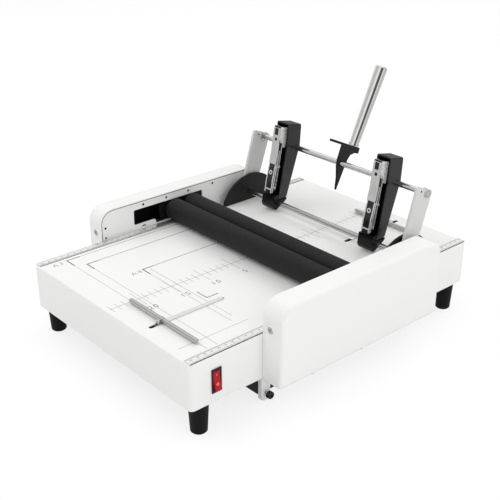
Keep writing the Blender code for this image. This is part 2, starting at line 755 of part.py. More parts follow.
# Mains switch: housing through the wall and a tilting rocker
bm = bmesh.new()


def switch_loop(depth, half_width, half_height):
    corners = rectangle(
        SWITCH_Y - half_width, SWITCH_Y + half_width, SWITCH_Z - half_height, SWITCH_Z + half_height
    )
    return [(depth, u, v) for u, v in corners]


flange_back = BASE_HALF_WIDTH + GAP
flange_front = flange_back + SWITCH_FLANGE
skin(bm, [
    switch_loop(flange_back - SWITCH_BODY_DEPTH, SWITCH_BODY_HALF_WIDTH, SWITCH_BODY_HALF_HEIGHT),
    switch_loop(flange_back, SWITCH_BODY_HALF_WIDTH, SWITCH_BODY_HALF_HEIGHT),
    switch_loop(flange_back, SWITCH_HALF_WIDTH, SWITCH_HALF_HEIGHT),
    switch_loop(flange_front, SWITCH_HALF_WIDTH, SWITCH_HALF_HEIGHT),
    switch_loop(flange_front, SWITCH_WELL_HALF_WIDTH, SWITCH_WELL_HALF_HEIGHT),
    switch_loop(flange_front - SWITCH_WELL_DEPTH, SWITCH_WELL_HALF_WIDTH, SWITCH_WELL_HALF_HEIGHT),
])
part("switch_housing", bm, black_plastic)
bm = bmesh.new()
rocker_half = SWITCH_WELL_HALF_WIDTH - ROCKER_SPACE
outline = []
for u, v in ROCKER_SHARES:
    across = u * ROCKER_LENGTH
    up = v * ROCKER_LENGTH
    outline.append((
        across * math.cos(ROCKER_TILT) - up * math.sin(ROCKER_TILT),
        across * math.sin(ROCKER_TILT) + up * math.cos(ROCKER_TILT),
    ))
plate(bm, outline, (), "Y", -rocker_half, rocker_half)
part("switch_rocker", bm, red_plastic, (BASE_HALF_WIDTH, SWITCH_Y, SWITCH_Z))

# Mains inlet, flush with the rear wall
bm = bmesh.new()
inlet_face = BASE_REAR - INLET_FLUSH


def inlet_loop(depth, half_width, half_height, corner):
    corners = rectangle(
        INLET_X - half_width, INLET_X + half_width, INLET_Z - half_height, INLET_Z + half_height
    )
    return [(u, depth, v) for u, v in rounded(corners, corner, 1)]


skin(bm, [
    inlet_loop(inlet_face - INLET_DEPTH, INLET_HALF_WIDTH, INLET_HALF_HEIGHT, GAP),
    inlet_loop(inlet_face, INLET_HALF_WIDTH, INLET_HALF_HEIGHT, GAP),
    inlet_loop(inlet_face, INLET_WELL_HALF_WIDTH, INLET_WELL_HALF_HEIGHT, INLET_WELL_CORNER),
    inlet_loop(
        inlet_face - INLET_WELL_DEPTH, INLET_WELL_HALF_WIDTH, INLET_WELL_HALF_HEIGHT, INLET_WELL_CORNER
    ),
])
part("power_inlet", bm, black_plastic)

# Staple anvils, flush in the table over the fold line
seat_top = -SHEET - GAP
for name, side in SIDES:
    bm = bmesh.new()
    x = anvil_x(side)
    loops = []
    for half_x, half_y, z in (
        (ANVIL_SEAT_HALF_LENGTH, ANVIL_SEAT_HALF_WIDTH, seat_top - ANVIL_SEAT),
        (ANVIL_SEAT_HALF_LENGTH, ANVIL_SEAT_HALF_WIDTH, seat_top),
        (ANVIL_HALF_LENGTH, ANVIL_HALF_WIDTH, seat_top),
        (ANVIL_HALF_LENGTH, ANVIL_HALF_WIDTH, 0),
    ):
        loops.append([(u, v, z) for u, v in rectangle(x - half_x, x + half_x, -half_y, half_y)])
    skin(bm, loops)
    part("anvil_" + name, bm, steel)

# Fold knife: notched blade in a channel-shaped carrier
bm = bmesh.new()
notch_half = ANVIL_SEAT_HALF_LENGTH + BLADE_NOTCH_SPACE
outline = [
    (-BLADE_HALF_LENGTH, BLADE_BOTTOM), (BLADE_HALF_LENGTH, BLADE_BOTTOM), (BLADE_HALF_LENGTH, BLADE_TOP),
]
for side in (1, -1):
    outline.append((anvil_x(side) + notch_half, BLADE_TOP))
    outline.append((anvil_x(side) + notch_half, BLADE_SHOULDER))
    outline.append((anvil_x(side) - notch_half, BLADE_SHOULDER))
    outline.append((anvil_x(side) - notch_half, BLADE_TOP))
outline.append((-BLADE_HALF_LENGTH, BLADE_TOP))
plate(bm, outline, (), "Y", -BLADE_HALF_THICKNESS, BLADE_HALF_THICKNESS)
part("knife_blade", bm, steel)
bm = bmesh.new()
groove = BLADE_HALF_THICKNESS + GAP
outline = (
    (-CARRIER_HALF_WIDTH, CARRIER_BOTTOM), (CARRIER_HALF_WIDTH, CARRIER_BOTTOM),
    (CARRIER_HALF_WIDTH, CARRIER_TOP), (groove, CARRIER_TOP), (groove, BLADE_BOTTOM - GAP),
    (-groove, BLADE_BOTTOM - GAP), (-groove, CARRIER_TOP), (-CARRIER_HALF_WIDTH, CARRIER_TOP),
)
plate(bm, outline, (), "X", -CARRIER_END, CARRIER_END)
part("knife_carrier", bm, dark_steel)
for name, side in SIDES:
    bm = bmesh.new()
    mouth = CARRIER_HALF_WIDTH + SLIDE_GAP
    bottom = CARRIER_END + SLIDE_GAP
    outline = (
        (GUIDE_INSIDE, -GUIDE_HALF_WIDTH), (GUIDE_OUTSIDE, -GUIDE_HALF_WIDTH),
        (GUIDE_OUTSIDE, GUIDE_HALF_WIDTH), (GUIDE_INSIDE, GUIDE_HALF_WIDTH),
        (GUIDE_INSIDE, mouth), (bottom, mouth), (bottom, -mouth), (GUIDE_INSIDE, -mouth),
    )
    plate(bm, [(side * u, v) for u, v in outline], (), "Z", GUIDE_LOW, seat_top)
    part("knife_guide_" + name, bm, black_plastic)

# Lift shaft with one cam: the knife rises in step with the shaft's turn
bm = bmesh.new()
turned(bm, "X", (0, 0), (
    (LIFT_SHAFT_RADIUS, LIFT_SHAFT_LEFT), (LIFT_SHAFT_RADIUS, GEARBOX_LEFT - GAP),
), 20)
part("lift_shaft", bm, steel, (0, 0, LIFT_SHAFT_Z))
bm = bmesh.new()
rate = KNIFE_TRAVEL / CAM_TURN
outline = []
for step in range(25):
    turn = CAM_TURN * step / 24
    radius = CAM_LOW_RADIUS + rate * turn
    facing = QUARTER - turn
    outline.append((
        radius * math.cos(facing) + rate * math.sin(facing),
        radius * math.sin(facing) - rate * math.cos(facing),
    ))
outline += arc(0, 0, CAM_LOW_RADIUS, CAM_LEFT_SIDE, QUARTER, 8)
bore = circle(0, 0, LIFT_SHAFT_RADIUS + BORE_GAP, 20)
plate(bm, outline, [bore], "X", -CAM_WIDTH / 2, CAM_WIDTH / 2)
part("lift_cam", bm, dark_steel, (0, 0, LIFT_SHAFT_Z))
bm = bmesh.new()
stand_low = floor_z + GAP
outline = (
    (-STAND_FOOT_HALF, stand_low), (STAND_FOOT_HALF, stand_low),
    (STAND_HEAD_HALF, GEARBOX_TOP), (-STAND_HEAD_HALF, GEARBOX_TOP),
)
bore = circle(0, LIFT_SHAFT_Z, LIFT_SHAFT_RADIUS + BORE_GAP, 20)
plate(bm, outline, [bore], "X", LIFT_SHAFT_LEFT + GAP, LIFT_SHAFT_LEFT + GAP + STAND_THICKNESS)
part("shaft_stand", bm, black_sheet)
bm = bmesh.new()
motor_x = (GEARBOX_LEFT + GEARBOX_RIGHT) / 2
box_loop = rounded(rectangle(GEARBOX_LEFT, GEARBOX_RIGHT, stand_low, GEARBOX_TOP), GEARBOX_CORNER, 5)
first = math.atan2(box_loop[0][1] - MOTOR_Z, box_loop[0][0] - motor_x)
count = len(box_loop)


def motor_loop(radius):
    turn = 2 * math.pi * (count - 1) / count
    return arc(motor_x, MOTOR_Z, radius, first, first + turn, count - 1)


stack = (
    (box_loop, -GEARBOX_HALF_WIDTH), (box_loop, GEARBOX_HALF_WIDTH),
    (motor_loop(MOTOR_RADIUS), GEARBOX_HALF_WIDTH), (motor_loop(MOTOR_RADIUS), MOTOR_END),
    (motor_loop(MOTOR_BOSS_RADIUS), MOTOR_END), (motor_loop(MOTOR_BOSS_RADIUS), MOTOR_END + MOTOR_BOSS),
)
skin(bm, [[(u, depth, v) for u, v in loop] for loop, depth in stack])
part("lift_gearmotor", bm, dark_steel)


band_radius = STOP_ROD_RADIUS + STOP_BAND
tab_top = GAP + STOP_TAB_THICKNESS


def band_outline(outward):
    """Round the rod, with a flat tab that runs out on one side at the rod's foot."""
    lift = STOP_TAB_THICKNESS - band_radius
    root = math.sqrt(band_radius ** 2 - lift ** 2)
    start = math.atan2(lift, root)
    points = arc(0, 0, band_radius, start, 3 * QUARTER, 12)
    points += [(band_radius + STOP_TAB_REACH, -band_radius), (band_radius + STOP_TAB_REACH, lift)]
    return [(outward * u, v) for u, v in points]


def stop_bar(left, right, outward):
    bm = bmesh.new()
    for side, end in ((-1, left), (1, right)):
        rings = []
        for step in range(4):
            angle = QUARTER * step / 3
            radius = STOP_ROD_RADIUS - STOP_ROD_END * (1 - math.sin(angle))
            depth = end - side * STOP_ROD_END * (1 - math.cos(angle))
            rings.append(ring_of(bm, [(depth, u, v) for u, v in circle(0, 0, radius)]))
        rings.append(ring_of(bm, [(side * STOP_BAND_HALF, u, v) for u, v in circle(0, 0, STOP_ROD_RADIUS)]))
        for first, second in zip(rings, rings[1:]):
            join_rings(bm, first, second)
        bm.faces.new(rings[0])
        band = ring_of(bm, [(side * STOP_BAND_HALF, u, v) for u, v in band_outline(outward)])
        fill(bm, [rings[-1], band])
        if side < 0:
            left_band = band
    join_rings(bm, left_band, band)
    hole = circle(0, outward * STOP_SCREW_OFFSET, STOP_HOLE_RADIUS)
    loops = []
    for first, second in ((-3, -2), (-1, 0)):
        quad = (left_band[first], left_band[second], band[second], band[first])
        bmesh.ops.delete(bm, geom=[bm.faces.get(quad)], context="FACES_ONLY")
        loops.append(ring_of(bm, [(u, v, quad[0].co.z) for u, v in hole]))
        fill(bm, [quad, loops[-1]])
    join_rings(bm, loops[0], loops[1])
    return bm


def paper_stop(name, x, y, left, right, strip_end):
    toward = 1 if strip_end > y else -1
    bm = stop_bar(left - x, right - x, -toward)
    part(name + "_stop_bar", bm, steel, (x, y, GAP + band_radius))
    bm = bmesh.new()
    start = toward * (band_radius + GAP)
    outline = rectangle(
        -STRIP_HALF_WIDTH, STRIP_HALF_WIDTH, min(start, strip_end - y), max(start, strip_end - y)
    )
    plate(bm, outline, (), "Z", GAP, GAP + STRIP_THICKNESS)
    part(name + "_stop_strip", bm, steel, (x, y, 0))
    bm = bmesh.new()
    head_low = tab_top + GAP
    head_top = head_low + THUMB_HEIGHT
    nut_top = -SHEET - GAP
    turned(bm, "Z", (0, 0), (
        (THUMB_NUT_RADIUS, nut_top - THUMB_NUT_HEIGHT),
        (THUMB_NUT_RADIUS, nut_top),
        (THUMB_SHANK_RADIUS, nut_top),
        (THUMB_SHANK_RADIUS, head_low),
        (THUMB_RADIUS, head_low),
        (THUMB_RADIUS, head_top - THUMB_CHAMFER),
        (THUMB_RADIUS - THUMB_CHAMFER, head_top),
    ), 24, knurl=(4, 5))
    part(name + "_stop_screw", bm, dark_steel, (x, y - toward * STOP_SCREW_OFFSET, 0))


paper_stop("front", FRONT_STOP_X, FRONT_STOP_Y, FRONT_STOP_LEFT, FRONT_STOP_RIGHT, FRONT_STRIP_END)
paper_stop("rear", REAR_STOP_X, REAR_STOP_Y, REAR_STOP_LEFT, REAR_STOP_RIGHT, REAR_STRIP_END)

# Roller carriage: a side bar at each end carries both roller shafts
for name, side in SIDES:
    bm = bmesh.new()
    outline = rounded(rectangle(BAR_FRONT, BAR_REAR, BAR_LOW, BAR_HIGH), BAR_RADIUS)
    bores = [circle(y, ROLLER_AXIS_Z, shaft_bore, 24) for y in (-ROLLER_AXIS_Y, ROLLER_AXIS_Y)]
    plate(bm, outline, bores, "X", side * bar_inside, side * bar_outside)
    part("carriage_bar_" + name, bm, steel)


def gear_outline(phase):
    points = []
    pitch = 2 * math.pi / GEAR_TEETH
    for tooth in range(GEAR_TEETH):
        middle = pitch * (tooth + phase)
        for radius, share in (
            (GEAR_ROOT_RADIUS, -TOOTH_ROOT_SHARE), (GEAR_TIP_RADIUS, -TOOTH_TIP_SHARE),
            (GEAR_TIP_RADIUS, TOOTH_TIP_SHARE), (GEAR_ROOT_RADIUS, TOOTH_ROOT_SHARE),
        ):
            angle = middle + pitch * share
            points.append((radius * math.cos(angle), radius * math.sin(angle)))
    return points


for name, y, phase in (("front", -ROLLER_AXIS_Y, 0), ("rear", ROLLER_AXIS_Y, 1 / 2)):
    spot = (0, y, ROLLER_AXIS_Z)
    bm = bmesh.new()
    turned(bm, "X", (0, 0), (
        (shaft_bore, -ROLLER_HALF_LENGTH),
        (ROLLER_RADIUS - ROLLER_CHAMFER, -ROLLER_HALF_LENGTH),
        (ROLLER_RADIUS, ROLLER_CHAMFER - ROLLER_HALF_LENGTH),
        (ROLLER_RADIUS, ROLLER_HALF_LENGTH - ROLLER_CHAMFER),
        (ROLLER_RADIUS - ROLLER_CHAMFER, ROLLER_HALF_LENGTH),
        (shaft_bore, ROLLER_HALF_LENGTH),
    ), 40, hollow=True)
    part(name + "_roller", bm, roller_rubber, spot)
    bm = bmesh.new()
    turned(bm, "X", (0, 0), ((SHAFT_RADIUS, -SHAFT_LEFT_END), (SHAFT_RADIUS, SHAFT_RIGHT_END)), 24)
    part(name + "_roller_shaft", bm, steel, spot)
    bm = bmesh.new()
    bore = circle(0, 0, shaft_bore, 24)
    plate(bm, gear_outline(phase), [bore], "X", GEAR_INSIDE, GEAR_INSIDE + GEAR_WIDTH)
    part(name + "_roller_gear", bm, gear_plastic, spot)

# Arched brackets standing on the table, with the pivot bore
for name, side in SIDES:
    bm = bmesh.new()
    reach = math.sqrt(ARCH_RADIUS ** 2 - (GAP - ARCH_CENTRE_Z) ** 2)
    start = math.atan2(GAP - ARCH_CENTRE_Z, reach)
    outline = arc(ARCH_CENTRE_Y, ARCH_CENTRE_Z, ARCH_RADIUS, start, math.pi - start, 16)
    bore = circle(PIVOT_Y, PIVOT_Z, ROD_RADIUS + BORE_GAP, 24)
    plate(bm, outline, [bore], "X", side * BRACKET_INSIDE, side * (BRACKET_INSIDE + BRACKET_THICKNESS))
    part("pivot_bracket_" + name, bm, black_sheet)

# Stapling frame, drawn about the pivot rod
pivot = (0, PIVOT_Y, PIVOT_Z)
arm_outside = ARM_INSIDE + ARM_THICKNESS
upper_rod = (UPPER_ROD_SHARE[0] * REACH, UPPER_ROD_SHARE[1] * REACH)
rod_bore = ROD_RADIUS + BORE_GAP


def rod(name, centre, look):
    bm = bmesh.new()
    head = arm_outside + GAP
    turned(bm, "X", centre, (
        (ROD_HEAD_RADIUS, -head - ROD_HEAD_HEIGHT), (ROD_HEAD_RADIUS, -head),
        (ROD_RADIUS, -head), (ROD_RADIUS, head),
        (ROD_HEAD_RADIUS, head), (ROD_HEAD_RADIUS, head + ROD_HEAD_HEIGHT),
    ), 24)
    part(name, bm, look, pivot)


rod("swing_lower_rod", (0, 0), steel)
rod("swing_upper_rod", upper_rod, steel)
for name, side in SIDES:
    bm = bmesh.new()
    sides = scaled(ARM_SHARES)
    corners = rounded(sides, (0, ARM_CORNER, ARM_CORNER, 0))
    outline = corners + arc(0, 0, ARM_FOOT_RADIUS, ARM_FOOT_START, ARM_FOOT_END, 12)
    hole = scaled([ARM_HOLE_SHARE])[0]
    holes = [
        circle(0, 0, rod_bore, 24), circle(upper_rod[0], upper_rod[1], rod_bore, 24),
        circle(hole[0], hole[1], ARM_HOLE_RADIUS, 10),
    ]
    plate(bm, outline, holes, "X", side * ARM_INSIDE, side * arm_outside)
    part("swing_arm_" + name, bm, grey_paint, pivot)


def channel(bm, middle, chain, mouth, inner, half_out, half_in, hole=None):
    """Trough: chain is the closed back, mouth the open side, inner the inside of the back."""
    levels = (middle - half_out, middle - half_in, middle + half_in, middle + half_out)
    full = list(chain) + list(mouth)
    columns = [[bm.verts.new((x, u, v)) for u, v in full] for x in levels]
    lining = [[bm.verts.new((x, u, v)) for u, v in inner] for x in levels[1:3]]
    for low, high in ((0, 1), (2, 3)):
        join_rings(bm, columns[low], columns[high])
    for index in range(len(chain) - 1):
        bm.faces.new((columns[1][index], columns[1][index + 1], columns[2][index + 1], columns[2][index]))
    walls = []
    for level in (0, 1):
        outer = columns[level + 1]
        walls.append([outer[0]] + lining[level] + [outer[len(chain) - 1]])
    for index in range(len(walls[0]) - 1):
        bm.faces.new((walls[0][index], walls[0][index + 1], walls[1][index + 1], walls[1][index]))
    open_mouth = [columns[level][len(chain):] for level in (1, 2)]
    cheeks = [walls[level] + open_mouth[level] for level in (0, 1)]
    faces = (columns[0], cheeks[0], cheeks[1], columns[3])
    if hole is None:
        for ring in faces:
            bm.faces.new(ring)
        return
    loops = [ring_of(bm, [(x, u, v) for u, v in hole]) for x in levels]
    for ring, loop in zip(faces, loops):
        fill(bm, [ring, loop])
    join_rings(bm, loops[0], loops[1])
    join_rings(bm, loops[2], loops[3])


for name, side in SIDES:
    middle = side * STAPLER_X
    # Black cover: a trough open to the front, with the upper rod through its cheeks
    bm = bmesh.new()
    channel(
        bm, middle, scaled(COVER_BACK_SHARES), scaled(COVER_MOUTH_SHARES), scaled(COVER_INNER_SHARES),
        STAPLER_HALF_WIDTH, STAPLER_HALF_WIDTH - STAPLER_WALL,
        circle(upper_rod[0], upper_rod[1], rod_bore, 24),
    )
    part("stapler_cover_" + name, bm, stapler_black, pivot)
    # Black end piece round the pivot rod
    bm = bmesh.new()
    outline = scaled(BASE_END_TOP_SHARES)
    outline += arc(0, 0, BASE_END_RADIUS, BASE_END_START, BASE_END_STOP, 4)
    outline += scaled(BASE_END_LOW_SHARES)
    plate(
        bm, outline, [circle(0, 0, rod_bore, 24)], "X",
        middle - STAPLER_HALF_WIDTH, middle + STAPLER_HALF_WIDTH,
    )
    part("stapler_end_" + name, bm, black_plastic, pivot)
    # Chrome magazine: a trough closed to the front
    bm = bmesh.new()
    axis_x = middle + MAGAZINE_SHIFT
    channel(
        bm, axis_x, scaled(MAGAZINE_FRONT_SHARES) + scaled(MAGAZINE_REAR_SHARES[:1]),
        scaled(MAGAZINE_REAR_SHARES[1:]), scaled(reversed(MAGAZINE_INNER_SHARES)),
        MAGAZINE_HALF_WIDTH, MAGAZINE_HALF_WIDTH - MAGAZINE_WALL,
    )
    part("stapler_magazine_" + name, bm, chrome, pivot)

# Lever bracket: upright plate with a flange folded along its top
bm = bmesh.new()
front_chain = scaled(LEVER_FRONT_SHARES)
top_chain = scaled(LEVER_TOP_SHARES)
rear_chain = scaled(LEVER_REAR_SHARES)
outline = front_chain + top_chain + rear_chain
near = [bm.verts.new((LEVER_INSIDE, u, v)) for u, v in outline]
far = [bm.verts.new((LEVER_INSIDE + LEVER_THICKNESS, u, v)) for u, v in outline]
join_rings(bm, near, far)
bore = circle(upper_rod[0], upper_rod[1], rod_bore, 24)
near_bore = ring_of(bm, [(LEVER_INSIDE, u, v) for u, v in bore])
far_bore = ring_of(bm, [(LEVER_INSIDE + LEVER_THICKNESS, u, v) for u, v in bore])
join_rings(bm, near_bore, far_bore)
fill(bm, [far, far_bore])
count = len(front_chain)
strip = [near[count - 1], near[count], near[count + 1], near[count + 2]]
web = near[:count] + near[count + 2:]
fill(bm, [web, near_bore])
tip = [bm.verts.new((LEVER_FLANGE_END, vert.co.y, vert.co.z)) for vert in strip]
join_rings(bm, strip, tip)
bm.faces.new(tip)
part("lever_bracket", bm, black_sheet, pivot)

# Handle: chrome tube, a little wider at its open top, screwed in with a foot nut
bm = bmesh.new()
profile = [
    (HANDLE_NUT_RADIUS, 0), (HANDLE_NUT_RADIUS, HANDLE_NUT_HEIGHT), (HANDLE_RING_RADIUS, HANDLE_NUT_HEIGHT),
    (HANDLE_RING_RADIUS, HANDLE_RING_HEIGHT), (HANDLE_LOW_RADIUS, HANDLE_RING_HEIGHT),
]
for step in range(5):
    angle = QUARTER * step / 4
    profile.append((
        HANDLE_TOP_RADIUS - HANDLE_END_ROUND * (1 - math.cos(angle)),
        HANDLE_LENGTH - HANDLE_END_ROUND + HANDLE_END_ROUND * math.sin(angle),
    ))
mouth = HANDLE_TOP_RADIUS - HANDLE_END_ROUND - HANDLE_WALL
profile.append((mouth, HANDLE_LENGTH))
profile.append((mouth, HANDLE_LENGTH - HANDLE_MOUTH))
turned(bm, "Z", (0, 0), profile, 32)
foot = scaled([HANDLE_FOOT_SHARE])[0]
turn = Matrix.Rotation(-HANDLE_LEAN, 4, "X")
move = Matrix.Translation(Vector((HANDLE_X, foot[0], foot[1])))
bmesh.ops.transform(bm, matrix=move @ turn, verts=bm.verts)
part("handle_tube", bm, chrome, pivot)

# Clamps under the covers, each with a knurled screw along X
clamp_y = (CLAMP_FRONT + CLAMP_REAR) / 2
clamp_hole = circle(clamp_y, CLAMP_SCREW_Z, CLAMP_SHANK_RADIUS + HOLE_GAP)
for name, side in SIDES:
    bm = bmesh.new()
    outline = rounded(
        rectangle(CLAMP_FRONT, CLAMP_REAR, CLAMP_LOW, tray_top), (CLAMP_CORNER, CLAMP_CORNER, 0, 0)
    )
    plate(bm, outline, [clamp_hole], "X", side * CLAMP_INSIDE, side * CLAMP_OUTSIDE)
    part("clamp_bracket_" + name, bm, painted)
for name, side in SIDES:
    bm = bmesh.new()
    shoulder = CLAMP_OUTSIDE + GAP
    head = shoulder + CLAMP_SHOULDER_LENGTH
    end = head + CLAMP_HEAD_LENGTH
    turned(bm, "X", (0, 0), (
        (CLAMP_SHANK_RADIUS, side * (CLAMP_INSIDE + GAP)),
        (CLAMP_SHANK_RADIUS, side * shoulder),
        (CLAMP_SHOULDER_RADIUS, side * shoulder),
        (CLAMP_SHOULDER_RADIUS, side * head),
        (CLAMP_HEAD_RADIUS - CLAMP_CHAMFER, side * head),
        (CLAMP_HEAD_RADIUS, side * (head + CLAMP_CHAMFER)),
        (CLAMP_HEAD_RADIUS, side * (end - CLAMP_CHAMFER)),
        (CLAMP_HEAD_RADIUS - CLAMP_CHAMFER, side * end),
    ), 28, knurl=(5, 6))
    part("clamp_screw_" + name, bm, black_plastic, (0, clamp_y, CLAMP_SCREW_Z))
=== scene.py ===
"""Looks of the booklet maker: finishes, print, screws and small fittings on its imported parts.

Shapes are drawn in millimetres; fit() brings each one to metres and into its place.
"""

import json
import math

import bmesh
import bpy
from bpy.props import FloatProperty, FloatVectorProperty, PointerProperty
from mathutils import Matrix, Vector
from mathutils.bvhtree import BVHTree

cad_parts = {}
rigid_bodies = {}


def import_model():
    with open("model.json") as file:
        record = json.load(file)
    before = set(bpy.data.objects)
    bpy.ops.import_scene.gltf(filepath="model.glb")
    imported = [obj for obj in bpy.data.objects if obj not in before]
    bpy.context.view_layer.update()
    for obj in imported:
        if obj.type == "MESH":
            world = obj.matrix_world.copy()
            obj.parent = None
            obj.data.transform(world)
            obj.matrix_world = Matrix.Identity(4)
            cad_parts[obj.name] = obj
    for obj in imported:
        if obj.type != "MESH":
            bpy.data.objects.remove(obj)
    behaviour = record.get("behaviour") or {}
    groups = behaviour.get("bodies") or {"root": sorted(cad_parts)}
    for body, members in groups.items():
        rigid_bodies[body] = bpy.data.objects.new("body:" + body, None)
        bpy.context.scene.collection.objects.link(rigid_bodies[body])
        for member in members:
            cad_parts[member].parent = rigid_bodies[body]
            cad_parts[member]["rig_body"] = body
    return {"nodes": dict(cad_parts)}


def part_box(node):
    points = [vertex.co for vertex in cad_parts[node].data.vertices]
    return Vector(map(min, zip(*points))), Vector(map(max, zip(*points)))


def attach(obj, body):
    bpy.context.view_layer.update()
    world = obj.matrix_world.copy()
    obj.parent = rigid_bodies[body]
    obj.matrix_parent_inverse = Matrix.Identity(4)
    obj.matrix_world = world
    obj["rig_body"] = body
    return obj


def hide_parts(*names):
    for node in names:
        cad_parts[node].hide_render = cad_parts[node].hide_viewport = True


bl_info = {
    "name": "Booklet maker looks",
    "version": (1, 0, 0),
    "blender": (4, 5, 0),
    "location": "3D View > Sidebar > Booklet maker",
    "description": "Finishes, print, screws and small fittings of a booklet maker",
    "category": "Object",
}

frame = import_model()

MM = 0.001
ROUND_STEPS = 32
PRINT_THICKNESS = 0.03
SIDES = (("left", -1), ("right", 1))
SHARP = math.radians(40)
CREASE = math.radians(35)


def box(node):
    """The two corners of a part's box, in millimetres."""
    low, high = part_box(node)
    return low / MM, high / MM


def centre(node):
    """The middle of a part's box, in millimetres."""
    low, high = box(node)
    return (low + high) / 2


def edge_of(node, sign):
    """How far a part reaches along X, to the right for a positive sign."""
    low, high = box(node)
    return high.x if sign > 0 else low.x


TABLE = box("base_shell")[1].z
FOLD = (box("front_roller")[1].y + box("rear_roller")[0].y) / 2
PIVOT = centre("swing_lower_rod")


def linear(code):
    """An sRGB hex colour as the linear colour that shaders take."""
    parts = [int(code[i:i + 2], 16) / 255 for i in (1, 3, 5)]
    return [c / 12.92 if c <= 0.04045 else ((c + 0.055) / 1.055) ** 2.4 for c in parts]


def paint(label, words, code):
    """A colour that the user may change."""
    return FloatVectorProperty(name=label, description=words, default=linear(code), size=3, min=0, max=1,
                               subtype="COLOR")


def length(label, words, metres):
    """A size that the user may change."""
    return FloatProperty(name=label, description=words, default=metres, min=0.0001, unit="LENGTH",
                         subtype="DISTANCE")


class BookletColours(bpy.types.PropertyGroup):
    """Colours of the finishes."""
    body_white: paint("Body white", "Powder coat of the base, covers and plates", "#F1F1F0")
    # The arms' white is greyed as painted shade.
    arm_white: paint("Arm white", "Paint of the two swing arms", "#D3D3D2")
    sheet_black: paint("Sheet black", "Powder coat of the black sheet parts", "#0E0E0F")
    stapler_black: paint("Stapler black", "Moulded stapler covers and ends", "#0A0A0B")
    roller_rubber: paint("Roller rubber", "Ground rubber of the two rollers", "#19191A")
    foot_rubber: paint("Foot rubber", "Moulded rubber feet", "#0D0D0E")
    rocker_red: paint("Rocker red", "Clear red rocker of the mains switch", "#B4000A")
    print_dark: paint("Strong print", "Corner marks and figures on the table", "#2A2A2C")
    print_light: paint("Fine print", "Fine lines on the table", "#7C7D80")


class BookletSizes(bpy.types.PropertyGroup):
    """Sizes of the small fittings and of the print."""
    corner_line: length("Corner line", "Width of the sheet corner marks", 0.0015)
    sheet_line: length("Sheet line", "Width of the long sheet lines", 0.0009)
    fine_line: length("Fine line", "Width of the fine lines and ticks", 0.0005)
    figure: length("Figure height", "Letter size of the figures on the table", 0.0125)
    plate_screw: length("Plate screw", "Head radius of the plate screws", 0.0019)
    cover_screw: length("Cover screw", "Head radius of the cover screws", 0.0032)


def add(tree, kind, inputs=None, **settings):
    """Adds a node to tree with its settings, and sets or links its inputs."""
    node = tree.nodes.new(kind)
    for key, value in settings.items():
        setattr(node, key, value)
    for key, value in (inputs or {}).items():
        if isinstance(value, bpy.types.NodeSocket):
            tree.links.new(value, node.inputs[key])
        else:
            node.inputs[key].default_value = value
    return node


def finish(name, colour, **values):
    """A new finish: returns the material, its tree, its shader and the place on the object."""
    made = bpy.data.materials.new(name)
    made.use_nodes = True
    tree = made.node_tree
    tree.nodes.clear()
    settings = {"Base Color": (*colour, 1)}
    settings.update({key.replace("_", " "): value for key, value in values.items()})
    shader = add(tree, "ShaderNodeBsdfPrincipled", settings)
    add(tree, "ShaderNodeOutputMaterial", {"Surface": shader.outputs[0]})
    return made, tree, shader, add(tree, "ShaderNodeTexCoord").outputs["Object"]


def grain(tree, shader, place, size, rough, bump=0.0, stretch=(1, 1, 1), detail=2.0):
    """Gives a shader a grain: its size in millimetres, its roughness range and its height in millimetres."""
    where = add(tree, "ShaderNodeMapping", {"Vector": place, "Scale": stretch})
    noise = add(tree, "ShaderNodeTexNoise", {"Vector": where.outputs[0], "Scale": 1 / (size * MM),
                                             "Detail": detail}).outputs["Fac"]
    spread = add(tree, "ShaderNodeMapRange", {"Value": noise, "From Min": 0.3, "From Max": 0.7,
                                              "To Min": rough[0], "To Max": rough[1]})
    tree.links.new(spread.outputs[0], shader.inputs["Roughness"])
    if bump:
        relief = add(tree, "ShaderNodeBump", {"Height": noise, "Strength": 1.0, "Distance": bump * MM})
        tree.links.new(relief.outputs[0], shader.inputs["Normal"])
    return noise


def shade(colour, share):
    """A colour made darker or lighter by share, with its opacity."""
    return (*(min(1.0, c * share) for c in colour), 1)


def coat(name, colour, size, rough, low, high, bump=0.0, stretch=(1, 1, 1), detail=2.0, **values):
    """A finish whose colour drifts with its grain from low to high: hex colours, or shares of its own."""
    made, tree, shader, place = finish(name, colour, **values)
    drift = grain(tree, shader, place, size, rough, bump, stretch, detail)
    low, high = ((*linear(end), 1) if isinstance(end, str) else shade(colour, end) for end in (low, high))
    mix = add(tree, "ShaderNodeMix", {0: drift, 6: low, 7: high}, data_type="RGBA")
    tree.links.new(mix.outputs[2], shader.inputs["Base Color"])
    return made


# Orange peel is about 1 mm from crest to crest; drawn at 2.4 mm so that it shows
ORANGE_PEEL = {"size": 2.4, "rough": (0.36, 0.46), "bump": 0.012}
PEEL_SHARES = (0.985, 1.01)
SATIN = {"Coat_Weight": 0.15, "Coat_Roughness": 0.3}


def white_powder_coat(colours):
    """Powder-coated steel: satin white with a faint orange-peel ripple."""
    low, high = PEEL_SHARES
    return coat("white powder coat", colours.body_white, low=low, high=high, **ORANGE_PEEL, **SATIN)


